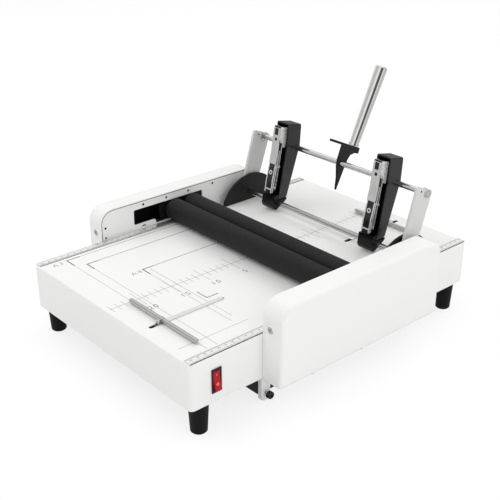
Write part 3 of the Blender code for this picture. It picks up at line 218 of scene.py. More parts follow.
def cover_coat(colours):
    """The same powder coat outside the covers, and a near-black painted shade on the faces inside them."""
    white = colours.body_white
    made, tree, shader, place = finish("white powder coat with painted shade inside", white, **SATIN)
    ripple = grain(tree, shader, place, **ORANGE_PEEL)
    low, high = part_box("side_cover_right")
    middle = (low + high) / 2
    rim = low.x + 0.0002
    normal = add(tree, "ShaderNodeNewGeometry").outputs["True Normal"]
    where = add(tree, "ShaderNodeVectorMath", {0: place, 1: (0, -middle.y, -middle.z)}, operation="ADD")
    turned_in = add(tree, "ShaderNodeVectorMath", {0: where.outputs[0], 1: normal}, operation="DOT_PRODUCT")
    inward = add(tree, "ShaderNodeMath", {0: turned_in.outputs["Value"], 1: 0.0}, operation="LESS_THAN")
    across = add(tree, "ShaderNodeSeparateXYZ", {0: place})
    across = add(tree, "ShaderNodeMath", {0: across.outputs[0]}, operation="ABSOLUTE")
    past_rim = add(tree, "ShaderNodeMath", {0: across.outputs[0], 1: rim}, operation="GREATER_THAN")
    inside = add(tree, "ShaderNodeMath", {0: inward.outputs[0], 1: past_rim.outputs[0]}, operation="MULTIPLY")
    low, high = (shade(white, share) for share in PEEL_SHARES)
    outer = add(tree, "ShaderNodeMix", {0: ripple, 6: low, 7: high}, data_type="RGBA")
    # The faces inside the covers take a near-black painted shade.
    both = add(tree, "ShaderNodeMix", {0: inside.outputs[0], 6: outer.outputs[2],
                                       7: (*linear("#161617"), 1)}, data_type="RGBA")
    tree.links.new(both.outputs[2], shader.inputs["Base Color"])
    return made


def arm_paint(colours):
    """Stove-enamelled flat bar: smoother than the powder coat, and greyer by painted shade."""
    return coat("white stove enamel with painted shade", colours.arm_white, 6.0, (0.3, 0.38), 0.97, 1.01, 0.01,
                Coat_Weight=0.3, Coat_Roughness=0.2)


def black_powder_coat(colours):
    """Powder-coated black sheet: low sheen with a fine pebble."""
    return coat("black powder coat", colours.sheet_black, 1.4, (0.42, 0.58), 0.8, 1.25, 0.03,
                Specular_IOR_Level=0.36)


def brushed_aluminium(colours):
    """Brushed and clear-anodised aluminium: pale, with long fine streaks."""
    # Brush lines are about 0.1 mm apart; drawn at 0.8 mm so that they show
    return coat("brushed anodised aluminium", linear("#F2F2F1"), 0.8, (0.22, 0.36), "#EAEAE9", "#FAFAF9",
                0.004, stretch=(1, 0.03, 1), Metallic=0.85)


def drawn_steel(colours):
    """Bright drawn and zinc-plated steel: cool grey with faint draw marks."""
    return coat("bright zinc-plated steel", linear("#C6C6C5"), 1.2, (0.16, 0.27), "#B9B9B8", "#D3D3D2",
                0.001, stretch=(0.04, 1, 1), Metallic=1.0)


def blackened_steel(colours):
    """Oil-blackened steel: dark grey metal with uneven patches."""
    return coat("oil-blackened steel", linear("#3C3D40"), 5.0, (0.3, 0.48), "#2E2E31", "#4A4A4B", 0.008,
                detail=4.0, Metallic=1.0)


def chrome_plate(colours):
    """Bright chrome plating: near-mirror with faint polishing haze."""
    return coat("chrome plate", linear("#E0E0DF"), 7.0, (0.05, 0.11), "#D8D8D7", "#E8E8E7", 0.004,
                Metallic=1.0)


def zinc_flake(colours):
    """Zinc-flake coated pressing: silver-grey, half metal and half paint."""
    return coat("zinc-flake coated steel", linear("#E2E2E1"), 3.0, (0.24, 0.34), "#DADAD9", "#EDEDEC", 0.006,
                Metallic=0.45)


def black_oxide(colours):
    """Black-oxide screws: dull and nearly lightless."""
    return coat("black oxide screws", linear("#070707"), 0.8, (0.45, 0.6), "#050505", "#0E0E0F",
                Specular_IOR_Level=0.12)


def ground_rubber(colours):
    """Ground nitrile rubber: matt charcoal with fine grinding rings."""
    return coat("ground roller rubber", colours.roller_rubber, 1.1, (0.62, 0.8), 0.86, 1.16, 0.02,
                stretch=(1, 0.15, 0.15), Specular_IOR_Level=0.32)


def foot_rubber(colours):
    """Moulded rubber: near-black with a soft broad highlight."""
    return coat("moulded foot rubber", colours.foot_rubber, 2.0, (0.42, 0.55), 0.85, 1.2, 0.02,
                Specular_IOR_Level=0.2)


def satin_abs(colours):
    """Moulded ABS: satin near-black under a thin gloss."""
    return coat("satin black ABS", colours.stapler_black, 1.3, (0.34, 0.44), 0.9, 1.8, 0.008,
                Specular_IOR_Level=0.3, Coat_Weight=0.6, Coat_Roughness=0.12)


def glossy_abs(colours):
    """Polished moulded ABS: deep black with a clear gloss and slight flow waves."""
    return coat("glossy black ABS", colours.stapler_black, 14.0, (0.1, 0.16), 0.8, 1.2, 0.05,
                Specular_IOR_Level=0.22)


def knob_nylon(colours):
    """Polished nylon knob: black with small sharp glints on its ribs."""
    return coat("polished black nylon", colours.stapler_black, 2.5, (0.12, 0.22), 0.8, 1.6, 0.02,
                Specular_IOR_Level=0.5)


def black_nylon(colours):
    """Moulded nylon: black, dull, with a fine spark-eroded texture."""
    return coat("black nylon", shade(colours.stapler_black, 1.6)[:3], 1.0, (0.4, 0.55), 0.75, 1.25, 0.03,
                IOR=1.53)


def red_polycarbonate(colours):
    """Tinted polycarbonate: a deep saturated red under a small sharp gloss."""
    return coat("red polycarbonate", colours.rocker_red, 4.0, (0.14, 0.22), 0.8, 1.25, 0.01,
                Specular_IOR_Level=0.25, Coat_Weight=0.15, Coat_Roughness=0.08)


def white_acetal(colours):
    """Machined acetal: ivory plastic with a waxy sheen."""
    return coat("ivory acetal", linear("#E4E0D4"), 1.5, (0.34, 0.46), "#DCD7C9", "#EAE7DD", 0.015, IOR=1.48,
                Subsurface_Weight=0.1)


def strong_ink(colours):
    """Screen-printed ink: flat, slightly uneven near-black."""
    return coat("dark screen ink", colours.print_dark, 1.5, (0.5, 0.65), 0.85, 1.4)


def fine_ink(colours):
    """Thin screen-printed ink: grey hairlines."""
    return coat("grey screen ink", colours.print_light, 1.5, (0.5, 0.65), 0.85, 1.25)


def white_ink(colours):
    """Pad-printed white marks on the switch, warmed by the red below them."""
    return coat("white pad ink", linear("#F6E9E4"), 1.0, (0.4, 0.5), "#EFDAD4", "#FBF3F0")


def paper_floor(colours):
    """Seamless white paper: plain white to the eye, half as bright to mirrors, keeping a soft shadow."""
    glow_share, glow_power, mirror_loss = 0.78, 1.04, 0.5
    made, tree, shader, place = finish("white paper floor", linear("#FAFAFA"), Specular_IOR_Level=0.0)
    grain(tree, shader, place, 40.0, (0.9, 1.0))
    ray = add(tree, "ShaderNodeLightPath").outputs
    mirrored = ray["Is Glossy Ray"]
    seen = add(tree, "ShaderNodeMath", {0: ray["Is Camera Ray"], 1: mirrored}, operation="MAXIMUM")
    through = ray["Is Transmission Ray"]
    seen = add(tree, "ShaderNodeMath", {0: seen.outputs[0], 1: through}, operation="MAXIMUM")
    part = add(tree, "ShaderNodeMath", {0: seen.outputs[0], 1: glow_share}, operation="MULTIPLY")
    power = add(tree, "ShaderNodeMath", {0: mirrored, 1: -mirror_loss, 2: glow_power},
                operation="MULTIPLY_ADD")
    glow = add(tree, "ShaderNodeEmission", {"Color": (1, 1, 1, 1), "Strength": power.outputs[0]})
    both = add(tree, "ShaderNodeMixShader", {0: part.outputs[0], 1: shader.outputs[0], 2: glow.outputs[0]})
    add(tree, "ShaderNodeOutputMaterial", {"Surface": both.outputs[0]}).is_active_output = True
    return made


MADE = {}


def material(look):
    """The material of a finish, made the first time that it is asked for."""
    if look not in MADE:
        MADE[look] = look(bpy.context.scene.booklet_colours)
    return MADE[look]


def dress(look, *nodes):
    """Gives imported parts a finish."""
    for node in nodes:
        slots = frame["nodes"][node].data.materials
        for i in range(len(slots)):
            slots[i] = material(look)


def bevel(bm, geom, width, segments, affect="EDGES", clamp=True):
    """Rounds edges or corners off."""
    bmesh.ops.bevel(bm, geom=geom, offset=width, offset_type="OFFSET", affect=affect, segments=segments,
                    profile=0.5, material=-1, clamp_overlap=clamp)


def flat(bm, corners, rounding=0.0):
    """A flat face through corners, which rounding takes off."""
    verts = [bm.verts.new((x, y, 0)) for x, y in corners]
    bm.faces.new(verts)
    if rounding:
        bevel(bm, verts, rounding, 5, affect="VERTICES", clamp=False)


def fill_outlines(bm):
    """Fills flat outlines anew, so that each one inside another becomes a hole."""
    bmesh.ops.delete(bm, geom=bm.faces[:], context="FACES_ONLY")
    bmesh.ops.triangle_fill(bm, use_beauty=True, edges=bm.edges[:])


def thicken(bm, faces, rise):
    """Draws faces out along Z, with walls between the old place and the new one."""
    grown = bmesh.ops.extrude_face_region(bm, geom=faces)["geom"]
    bmesh.ops.translate(bm, vec=(0, 0, rise), verts=[g for g in grown if isinstance(g, bmesh.types.BMVert)])


def square(width, height, x=0.0, y=0.0):
    """The corners of a rectangle round (x, y)."""
    return [(x - width / 2, y - height / 2), (x + width / 2, y - height / 2),
            (x + width / 2, y + height / 2), (x - width / 2, y + height / 2)]


def cross(arm, reach):
    """The corners of a cross, from half the width of its arms and their reach."""
    corners, quarter = [], [(arm, -reach), (arm, -arm), (reach, -arm)]
    for _ in range(4):
        corners += quarter
        quarter = [(-y, x) for x, y in quarter]
    return corners


def plate(corners, thickness, rounding=0.0, rounds=(), windows=()):
    """A plate that lies on its back, with round holes (x, y, radius) and windows given by their corners."""
    bm = bmesh.new()
    flat(bm, corners, rounding)
    for window in windows:
        flat(bm, window)
    for x, y, radius in rounds:
        bmesh.ops.create_circle(bm, segments=24, radius=radius, matrix=Matrix.Translation((x, y, 0)))
    if rounds or windows:
        fill_outlines(bm)
    thicken(bm, bm.faces[:], thickness)
    return bm


def sharp_edges(bm):
    """The edges of a shape that turn more than SHARP."""
    return [e for e in bm.edges if len(e.link_faces) == 2 and e.calc_face_angle(0) > SHARP]


def soften(bm, width):
    """Rounds the sharp edges of a shape."""
    bevel(bm, sharp_edges(bm), width, 2)
    return bm


def bar(x0, y0, x1, y1, low, high):
    """A straight bar between two corners."""
    bm = bmesh.new()
    bmesh.ops.create_cube(bm, size=1)
    bmesh.ops.scale(bm, vec=(abs(x1 - x0), abs(y1 - y0), high - low), verts=bm.verts[:])
    bmesh.ops.translate(bm, vec=((x0 + x1) / 2, (y0 + y1) / 2, (low + high) / 2), verts=bm.verts[:])
    return bm


def open_tray(x0, y0, x1, y1, low, high, wall):
    """A tray open at the top: a block pushed in so that walls and a floor as thick as wall are left."""
    bm = bar(x0, y0, x1, y1, low, high)
    top = max(bm.faces, key=lambda face: face.calc_center_median().z)
    bmesh.ops.inset_region(bm, faces=[top], thickness=wall, use_even_offset=True)
    thicken(bm, [top], low + wall - high)
    bmesh.ops.delete(bm, geom=[top], context="FACES_ONLY")
    return bm


def pull(bm, ring, size=1.0, rise=0.0):
    """Pulls a ring of edges out into a wall and returns the new ring."""
    made = bmesh.ops.extrude_edge_only(bm, edges=ring)["geom"]
    verts = [g for g in made if isinstance(g, bmesh.types.BMVert)]
    bmesh.ops.scale(bm, vec=(size, size, 1), verts=verts)
    bmesh.ops.translate(bm, vec=(0, 0, rise), verts=verts)
    fresh = set(verts)
    return [g for g in made if isinstance(g, bmesh.types.BMEdge) and fresh.issuperset(g.verts)]


def turned(*profile):
    """A turned shape about Z from (radius, height) points."""
    bm = bmesh.new()
    verts = [bm.verts.new((radius, 0, height)) for radius, height in profile]
    edges = [bm.edges.new(pair) for pair in zip(verts, verts[1:])]
    bmesh.ops.spin(bm, geom=verts + edges, cent=(0, 0, 0), axis=(0, 0, 1), angle=math.tau, steps=ROUND_STEPS,
                   use_merge=True)
    bmesh.ops.remove_doubles(bm, verts=bm.verts[:], dist=0.0001)
    return bm


def ring(outer, inner, height, edge=0.15):
    """A flat ring with rounded rims that lies on its back."""
    return turned((inner, 0), (outer, 0), (outer, height - edge), (outer - edge, height),
                  (inner + edge, height), (inner, height - edge), (inner, 0))


def collar(bore, outer, height):
    """A short collar on its back with one broken rim."""
    return turned((bore, 0), (outer, 0), (outer, height - 0.4), (outer - 0.4, height), (bore, height),
                  (bore, 0))


def screw(radius, height):
    """A pan head on its back, its cross recess sunk from the crown."""
    crown, shoulder = 0.6, 0.86
    bm = bmesh.new()
    bmesh.ops.create_circle(bm, segments=ROUND_STEPS, radius=radius * crown)
    rim = bm.edges[:]
    flat(bm, cross(radius * 0.13, radius * 0.44))
    recess = [e for e in bm.edges if e not in rim]
    fill_outlines(bm)
    bmesh.ops.translate(bm, vec=(0, 0, height), verts=bm.verts[:])
    recess = pull(bm, recess, 0.8, -height * 0.6)
    for size, drop in ((shoulder / crown, 0.22), (1 / shoulder, 0.33), (1, 0.45)):
        rim = pull(bm, rim, size, -height * drop)
    bmesh.ops.holes_fill(bm, edges=rim + recess, sides=0)
    return bm


def placed(name, data):
    """A new object in the scene."""
    item = bpy.data.objects.new(name, data)
    bpy.context.scene.collection.objects.link(item)
    return item


def figures(text, size, spacing=1.0, thin=0.0):
    """Flat figures round the origin, as thick as the print; thin narrows their strokes."""
    curve = bpy.data.curves.new("figures", "FONT")
    curve.body = text
    curve.size = size
    curve.space_character = spacing
    curve.align_x = "CENTER"
    curve.align_y = "CENTER"
    curve.resolution_u = 3
    curve.offset = -size * thin
    curve.extrude = PRINT_THICKNESS / 2
    holder = placed("figures", curve)
    mesh = bpy.data.meshes.new_from_object(holder.evaluated_get(bpy.context.evaluated_depsgraph_get()))
    bpy.data.objects.remove(holder)
    bm = bmesh.new()
    bm.from_mesh(mesh)
    bpy.data.meshes.remove(mesh)
    return bm


def facing(place, out, up=(0, 0, 1)):
    """The place of a shape drawn on its back: it stands at place, faces out, and its Y points up."""
    z = Vector(out).normalized()
    x = Vector(up).cross(z).normalized()
    return Matrix.Translation(place) @ Matrix((x, z.cross(x), z)).transposed().to_4x4()


def on_table(x, y, height=0.0):
    """A place on the table, from the middle and from the fold line."""
    return Vector((x, FOLD + y, TABLE + height))


def on_frame(x, back, up):
    """A place on the swing frame, from the middle and from its pivot."""
    return Vector((x, PIVOT.y + back, PIVOT.z + up))


def leaning(x, back, up, run, rise):
    """The place of a shape on a magazine's front, which leans by run in rise there."""
    lean = math.atan2(run, rise)
    cosine, sine = math.cos(lean), math.sin(lean)
    return facing(on_frame(x, back, up), (0, -cosine, sine), (0, sine, cosine))


def raised(height):
    """A step out along Z."""
    return Matrix.Translation((0, 0, height))


def gather(*shapes):
    """One shape from shapes that are already in place."""
    whole = bmesh.new()
    for shape in shapes:
        loose = bpy.data.meshes.new("loose")
        shape.to_mesh(loose)
        shape.free()
        whole.from_mesh(loose)
        bpy.data.meshes.remove(loose)
    return whole


def moved(bm, place):
    """A shape brought to place."""
    bmesh.ops.transform(bm, matrix=place, verts=bm.verts[:])
    return bm


def fit(name, bm, body, look):
    """Makes a shape a piece that rides on body."""
    bmesh.ops.remove_doubles(bm, verts=bm.verts[:], dist=0.0001)
    bmesh.ops.scale(bm, vec=(MM, MM, MM), verts=bm.verts[:])
    bmesh.ops.recalc_face_normals(bm, faces=bm.faces[:])
    for face in bm.faces:
        face.smooth = True
    for edge in bm.edges:
        edge.smooth = edge.calc_face_angle(0) < CREASE
    mesh = bpy.data.meshes.new(name)
    bm.to_mesh(mesh)
    bm.free()
    piece = placed(name, mesh)
    mesh.materials.append(material(look))
    piece.modifiers.new("weighted normals", "WEIGHTED_NORMAL").keep_sharp = True
    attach(piece, body)
    return piece


def rounded(node, look, width=0.0, lip=0.0):
    """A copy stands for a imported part, its outer edges rounded by width and those of its front by lip."""
    part = frame["nodes"][node]
    bm = bmesh.new()
    bm.from_mesh(part.data)
    bmesh.ops.remove_doubles(bm, verts=bm.verts[:], dist=0.000001)
    bmesh.ops.dissolve_limit(bm, angle_limit=math.radians(1), verts=bm.verts[:], edges=bm.edges[:])
    bmesh.ops.scale(bm, vec=(1 / MM, 1 / MM, 1 / MM), verts=bm.verts[:])
    for size, rim in ((width, False), (lip, True)):
        if size:
            middle = sum((v.co for v in bm.verts), Vector()) / len(bm.verts)
            bm.normal_update()
            outer = [e for e in sharp_edges(bm)
                     if all(f.normal.dot(e.verts[0].co - middle) > 0 for f in e.link_faces)
                     and rim == any(f.normal.y < -0.6 for f in e.link_faces)]
            bevel(bm, outer, size, 4, clamp=rim)
    piece = fit(node + "_finish", bm, part["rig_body"], look)
    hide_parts(node)
    return piece


class BOOKLET_OT_stage(bpy.types.Operator):
    """Floor, soft light, white world and camera"""
    bl_idname = "booklet.stage"
    bl_label = "Stage"

    FLOOR_HALF = 6
    LAMP_SIZE = 1.6
    LAMPS = (("key", (-1.1, -0.9, 1.9), 14), ("fill", (1.8, -0.2, 1.1), 7.5), ("rear", (0.3, 1.9, 1.7), 13.5))
    LAMP_TARGET = (0, 0, 0.12)
    FOCAL_LENGTH = 66.14
    CAMERA_PLACE = (0.8489, -0.7571, 0.6426)
    VIEW_LINE = (-0.679, 0.597, -0.4276)
    WORLD_LIGHT = 0.72
    # Each gap in the tent: its middle, the cosines where it is full and where it ends, the light left
    GAPS = (((0.89, -0.4, 0.24), 0.95, 0.88, 0.12), ((0.3, 0.93, 0.2), 0.9, 0.7, 0.45),
            ((-0.6, -0.7, 0.4), 0.95, 0.7, 0.62), ((-0.75, 0.66, 0.0), 0.97, 0.9, 0.2))

    def execute(self, context):
        """Builds the stage."""
        bm = bmesh.new()
        bmesh.ops.create_grid(bm, x_segments=1, y_segments=1, size=self.FLOOR_HALF)
        mesh = bpy.data.meshes.new("floor")
        bm.to_mesh(mesh)
        bm.free()
        mesh.materials.append(material(paper_floor))
        placed("floor", mesh)
        for name, place, power in self.LAMPS:
            lamp = bpy.data.lights.new(name, "AREA")
            lamp.size = self.LAMP_SIZE
            lamp.energy = power
            holder = placed(name, lamp)
            holder.location = place
            holder.visible_glossy = False
            aim = Vector(self.LAMP_TARGET) - Vector(place)
            holder.rotation_euler = aim.to_track_quat("-Z", "Y").to_euler()
        self.white_world(context)
        lens = bpy.data.cameras.new("camera")
        lens.lens = self.FOCAL_LENGTH
        lens.sensor_width = 36
        lens.clip_start = 0.01
        camera = placed("camera", lens)
        camera.location = self.CAMERA_PLACE
        camera.rotation_euler = Vector(self.VIEW_LINE).to_track_quat("-Z", "Y").to_euler()
        context.scene.camera = camera
        context.scene.view_settings.view_transform = "Standard"
        return {"FINISHED"}

    def white_world(self, context):
        """Soft daylight for surfaces, white for the eye, and a white tent with dark gaps for mirrors."""
        world = bpy.data.worlds.new("white studio")
        context.scene.world = world
        world.use_nodes = True
        tree = world.node_tree
        tree.nodes.clear()
        ray = add(tree, "ShaderNodeLightPath").outputs
        seen = add(tree, "ShaderNodeMath", {0: ray["Is Camera Ray"], 1: ray["Is Transmission Ray"]},
                   operation="MAXIMUM")
        direction = add(tree, "ShaderNodeTexCoord").outputs["Generated"]
        tent = 1.0
        for middle, inner, outer, low in self.GAPS:
            near = add(tree, "ShaderNodeVectorMath", {0: direction, 1: middle}, operation="DOT_PRODUCT")
            gap = add(tree, "ShaderNodeMapRange", {"Value": near.outputs["Value"], "From Min": outer,
                                                   "From Max": inner, "To Min": 1.0, "To Max": low},
                      interpolation_type="SMOOTHSTEP")
            tent = add(tree, "ShaderNodeMath", {0: tent, 1: gap.outputs[0]}, operation="MULTIPLY").outputs[0]
        white = (1, 1, 1, 1)
        mirror, soft, plain = (add(tree, "ShaderNodeBackground", {"Strength": strength, "Color": white})
                               for strength in (tent, self.WORLD_LIGHT, 1.0))
        other = add(tree, "ShaderNodeMixShader", {0: ray["Is Glossy Ray"], 1: soft.outputs[0],
                                                  2: mirror.outputs[0]})
        both = add(tree, "ShaderNodeMixShader", {0: seen.outputs[0], 1: other.outputs[0],
                                                 2: plain.outputs[0]})
        add(tree, "ShaderNodeOutputWorld", {"Surface": both.outputs[0]})


class BOOKLET_OT_base(bpy.types.Operator):
    """Base box, lower tray and rubber feet"""
    bl_idname = "booklet.base"
    bl_label = "Base and feet"

    def execute(self, context):
        """Finishes the base, its tray and its feet."""
        dress(white_powder_coat, "base_shell")
        dress(black_powder_coat, "bottom_plate", "under_tray")
        for end in ("front", "rear"):
            for side, _ in SIDES:
                rounded("foot_" + end + "_" + side, foot_rubber)
        return {"FINISHED"}


class BOOKLET_OT_print(bpy.types.Operator):
    """Sheet corners, ruler line and figures printed on the table"""
    bl_idname = "booklet.print"
    bl_label = "Table print"

    SLOTS = ((67.0, 75.0, -234.0, -116.0), (52.0, 60.0, 114.0, 231.0))
    SHEETS = ((-148.5, -210.0, 20.0, 152.0), (-121.5, -195.0, 18.0, 152.0), (-59.5, -148.5, 17.0, 122.0))

    def line(self, x0, y0, x1, y1, width, lift):
        """A printed line along X or Y, broken where a stop's slot crosses it."""
        spans = [(x0, y0, x1, y1)]
        for left, right, front, rear in self.SLOTS:
            if y0 == y1 and front < y0 < rear and x0 < left and x1 > right:
                spans = [(x0, y0, left, y1), (right, y0, x1, y1)]
        bars, half = [], width / 2
        for a, b, c, d in spans:
            wide = (a, b - half, c, d + half) if b == d else (a - half, b, c + half, d)
            bars.append(moved(bar(*wide, lift, lift + PRINT_THICKNESS), Matrix.Translation(on_table(0, 0))))
        return bars

    def execute(self, context):
        """Prints the table."""
        sizes = context.scene.booklet_sizes
        corner, sheet, fine = sizes.corner_line / MM, sizes.sheet_line / MM, sizes.fine_line / MM
        strong, thin = [], []
        for x, y, mark, end in self.SHEETS:
            thin += self.line(x, y, end, y, fine, 0.01)
            strong += self.line(x, y - corner / 2, x, y + mark, corner, 0.02)
            strong += self.line(x, y, x + mark, y, corner, 0.03)
            target = thin if x < -130 else strong
            target += self.line(x, y + mark, x, -19, sheet, 0.015)
        thin += self.line(-55, -139.7, 112, -139.7, fine, 0.01)
        thin += self.line(131.5, -235, 131.5, -130, fine, 0.015)
        strong += self.line(57.5, -134.5, 57.5, -116, corner * 0.8, 0.02)
        strong += self.line(38, -134, 57.5, -134, corner * 0.8, 0.03)
        for _, side in SIDES:
            first, last = sorted((side * 22, side * 242))
            thin += self.line(4, first, 4, last, fine * 1.2, 0.015)
            for step in range(3, 25):
                left, right = (-15, 23) if step % 5 == 0 else (-5, 13)
                thin += self.line(left, side * 10 * step, right, side * 10 * step, fine, 0.02)
        turn = Matrix.Rotation(math.pi / 2, 4, "Z")
        for text, x, y in (("5", 33, -49.5), ("10", 33, -99), ("15", 33, -148.5), ("20", 33, -198),
                           ("A3", -145, -225.5), ("A4", -56, -160.5)):
            place = Matrix.Translation(on_table(x, y, 0.01 + PRINT_THICKNESS / 2)) @ turn
            shape = moved(figures(text, sizes.figure / MM, 1.25, 0.012), place)
            (thin if text[0] == "A" else strong).append(shape)
        fit("print_strong", gather(*strong), "base", strong_ink)
        fit("print_fine", gather(*thin), "base", fine_ink)
        return {"FINISHED"}


class BOOKLET_OT_rules(bpy.types.Operator):
    """Metal rules let into the two edges of the table"""
    bl_idname = "booklet.rules"
    bl_label = "Edge rules"

    def execute(self, context):
        """Finishes the rules and etches their divisions and figures."""
        dress(brushed_aluminium, "edge_rule_left", "edge_rule_right")
        for side, sign in SIDES:
            rule = "edge_rule_" + side
            low, high = box(rule)
            outer, inner = edge_of(rule, sign), edge_of(rule, -sign)
            seams = [bar(edge - 0.45, low.y, edge + 0.45, high.y, TABLE + 0.01, TABLE + 0.04)
                     for edge in (low.x - 0.4, high.x + 0.4)]
            fit("rule_seams_" + side, gather(*seams), "base", strong_ink)
            top = high.z + PRINT_THICKNESS
            marks = [bar(inner + sign * near, low.y, inner + sign * far, high.y, high.z, top)
                     for near, far in ((0.15, 0.6), (1.5, 1.7))]
            for step in range(-243, 244):
                reach = 3.6 if step % 10 == 0 else 2.7 if step % 5 == 0 else 1.7
                half = 0.14 if step % 5 == 0 else 0.1
                marks.append(bar(outer - sign * 0.4, FOLD + step - half, outer - sign * reach,
                                 FOLD + step + half, high.z, top))
            turn = Matrix.Rotation(math.pi / 2 * sign, 4, "Z")
            for step in (*range(-24, 0), *range(1, 25)):
                place = (outer - sign * 6.3, FOLD + step * 10, high.z + PRINT_THICKNESS / 2)
                marks.append(moved(figures(str(abs(step)), 3.4), Matrix.Translation(place) @ turn))
            fit("rule_marks_" + side, gather(*marks), "base", strong_ink)
        return {"FINISHED"}


class BOOKLET_OT_covers(bpy.types.Operator):
    """Side covers, inner plates and the screws that hold them"""
    bl_idname = "booklet.covers"
    bl_label = "Covers and plates"

    SCREWS = ((-68, 37), (-27, 37), (13.6, 37), (60, 37), (-133.5, 18), (-133.5, 3.5))

    def execute(self, context):
        """Finishes the covers and plates and drives their screws."""
        sizes = context.scene.booklet_sizes
        dress(white_powder_coat, "inner_plate_left", "inner_plate_right")
        for side, sign in SIDES:
            face = edge_of("inner_plate_" + side, -sign)
            rounded("side_cover_" + side, cover_coat)
            heads = [moved(screw(sizes.plate_screw / MM, 1.3),
                           facing(on_table(face + sign, y, z), (-sign, 0, 0))) for y, z in self.SCREWS]
            fit("plate_screws_" + side, gather(*heads), "base", black_oxide)
            low, high = box("side_cover_" + side)
            fit("cover_seam_" + side, self.seam(low, high, face, sign), "base", black_nylon)
            place = facing((sign * 182, low.y, TABLE + 10), (0, -1, 0))
            head = moved(screw(sizes.cover_screw / MM, 0.9), place)
            fit("cover_screw_" + side, head, "base", drawn_steel)
            dimple = moved(ring(5.5, 4.3, 0.6, 0.25), place)
            fit("cover_dimple_" + side, dimple, "base", white_powder_coat)
            # A black ring round the screw and a black cross in its recess are painted shade.
            dark = gather(ring(4.35, 3.9, 0.16, 0.04), bar(-1.3, -0.4, 1.3, 0.4, 0.3, 0.45),
                          bar(-0.4, -1.3, 0.4, 1.3, 0.3, 0.46))
            fit("cover_screw_shade_" + side, moved(dark, place), "base", black_nylon)
        return {"FINISHED"}

    def seam(self, low, high, face, sign):
        """The dark joint between a cover's rim and its inner plate, above the table."""
        middle, size = (low + high) / 2, high - low
        bm = bmesh.new()
        for inset, rounding in ((1.35, 18.65), (2.15, 17.85)):
            flat(bm, square(size.y - 2 * inset, size.z - 2 * inset), rounding)
        fill_outlines(bm)
        bmesh.ops.bisect_plane(bm, geom=bm.verts[:] + bm.edges[:] + bm.faces[:],
                               plane_co=(0, TABLE - middle.z + 0.2, 0), plane_no=(0, 1, 0), clear_inner=True)
        thicken(bm, bm.faces[:], 0.1)
        return moved(bm, facing((face, middle.y, middle.z), (-sign, 0, 0)))


class BOOKLET_OT_rollers(bpy.types.Operator):
    """Folding rollers, their shafts, gears and sliding carriage"""
    bl_idname = "booklet.rollers"
    bl_label = "Rollers and carriage"

    def execute(self, context):
        """Finishes the rollers and their carriage and adds the hub rings of the gears."""
        for name in ("front_roller", "rear_roller"):
            rounded(name, ground_rubber)
            rounded(name + "_shaft", drawn_steel)
        dress(white_acetal, "front_roller_gear", "rear_roller_gear")
        for side, _ in SIDES:
            dress(black_powder_coat, "carriage_bar_" + side, "carriage_guide_" + side)
        for name, body in (("front_roller", "front_roll"), ("rear_roller", "rear_roll")):
            middle = centre(name + "_shaft")
            place = facing((edge_of(name + "_gear", 1), middle.y, middle.z), (1, 0, 0))
            fit(name + "_hub", moved(collar(5.1, 9.0, 1.0), place), body, white_acetal)
        return {"FINISHED"}


class BOOKLET_OT_swing(bpy.types.Operator):
    """Swing arms, their rods and the arched brackets"""
    bl_idname = "booklet.swing"
    bl_label = "Swing frame"

    def execute(self, context):
        """Finishes the swing frame and fits the rings, pins and collars of its rods."""
        dress(arm_paint, "swing_arm_left", "swing_arm_right")
        rounded("swing_upper_rod", chrome_plate)
        rounded("swing_lower_rod", drawn_steel)
        dress(black_powder_coat, "pivot_bracket_left", "pivot_bracket_right")
        upper = centre("swing_upper_rod")
        for side, sign in SIDES:
            outer, inner = edge_of("swing_upper_rod", sign), edge_of("swing_arm_" + side, -sign)
            rings = [moved(ring(4.9, 3.3, 0.35), facing((outer, rod.y, rod.z), (sign, 0, 0)))
                     for rod in (upper, PIVOT)]
            fit("rod_rings_" + side, gather(*rings), "swing_frame", drawn_steel)
            place = facing(on_frame(outer - sign * 2.2, 22.2, 86.2), (sign, 0, 0))
            pin = moved(turned((0, 0), (1.55, 0), (1.55, 0.5), (1.3, 0.7), (0, 0.7)), place)
            fit("arm_pin_" + side, pin, "swing_frame", blackened_steel)
            sleeve = moved(collar(4.2, 6.6, 3.0), facing((inner, upper.y, upper.z), (-sign, 0, 0)))
            fit("rod_collar_" + side, sleeve, "swing_frame", drawn_steel)
        return {"FINISHED"}


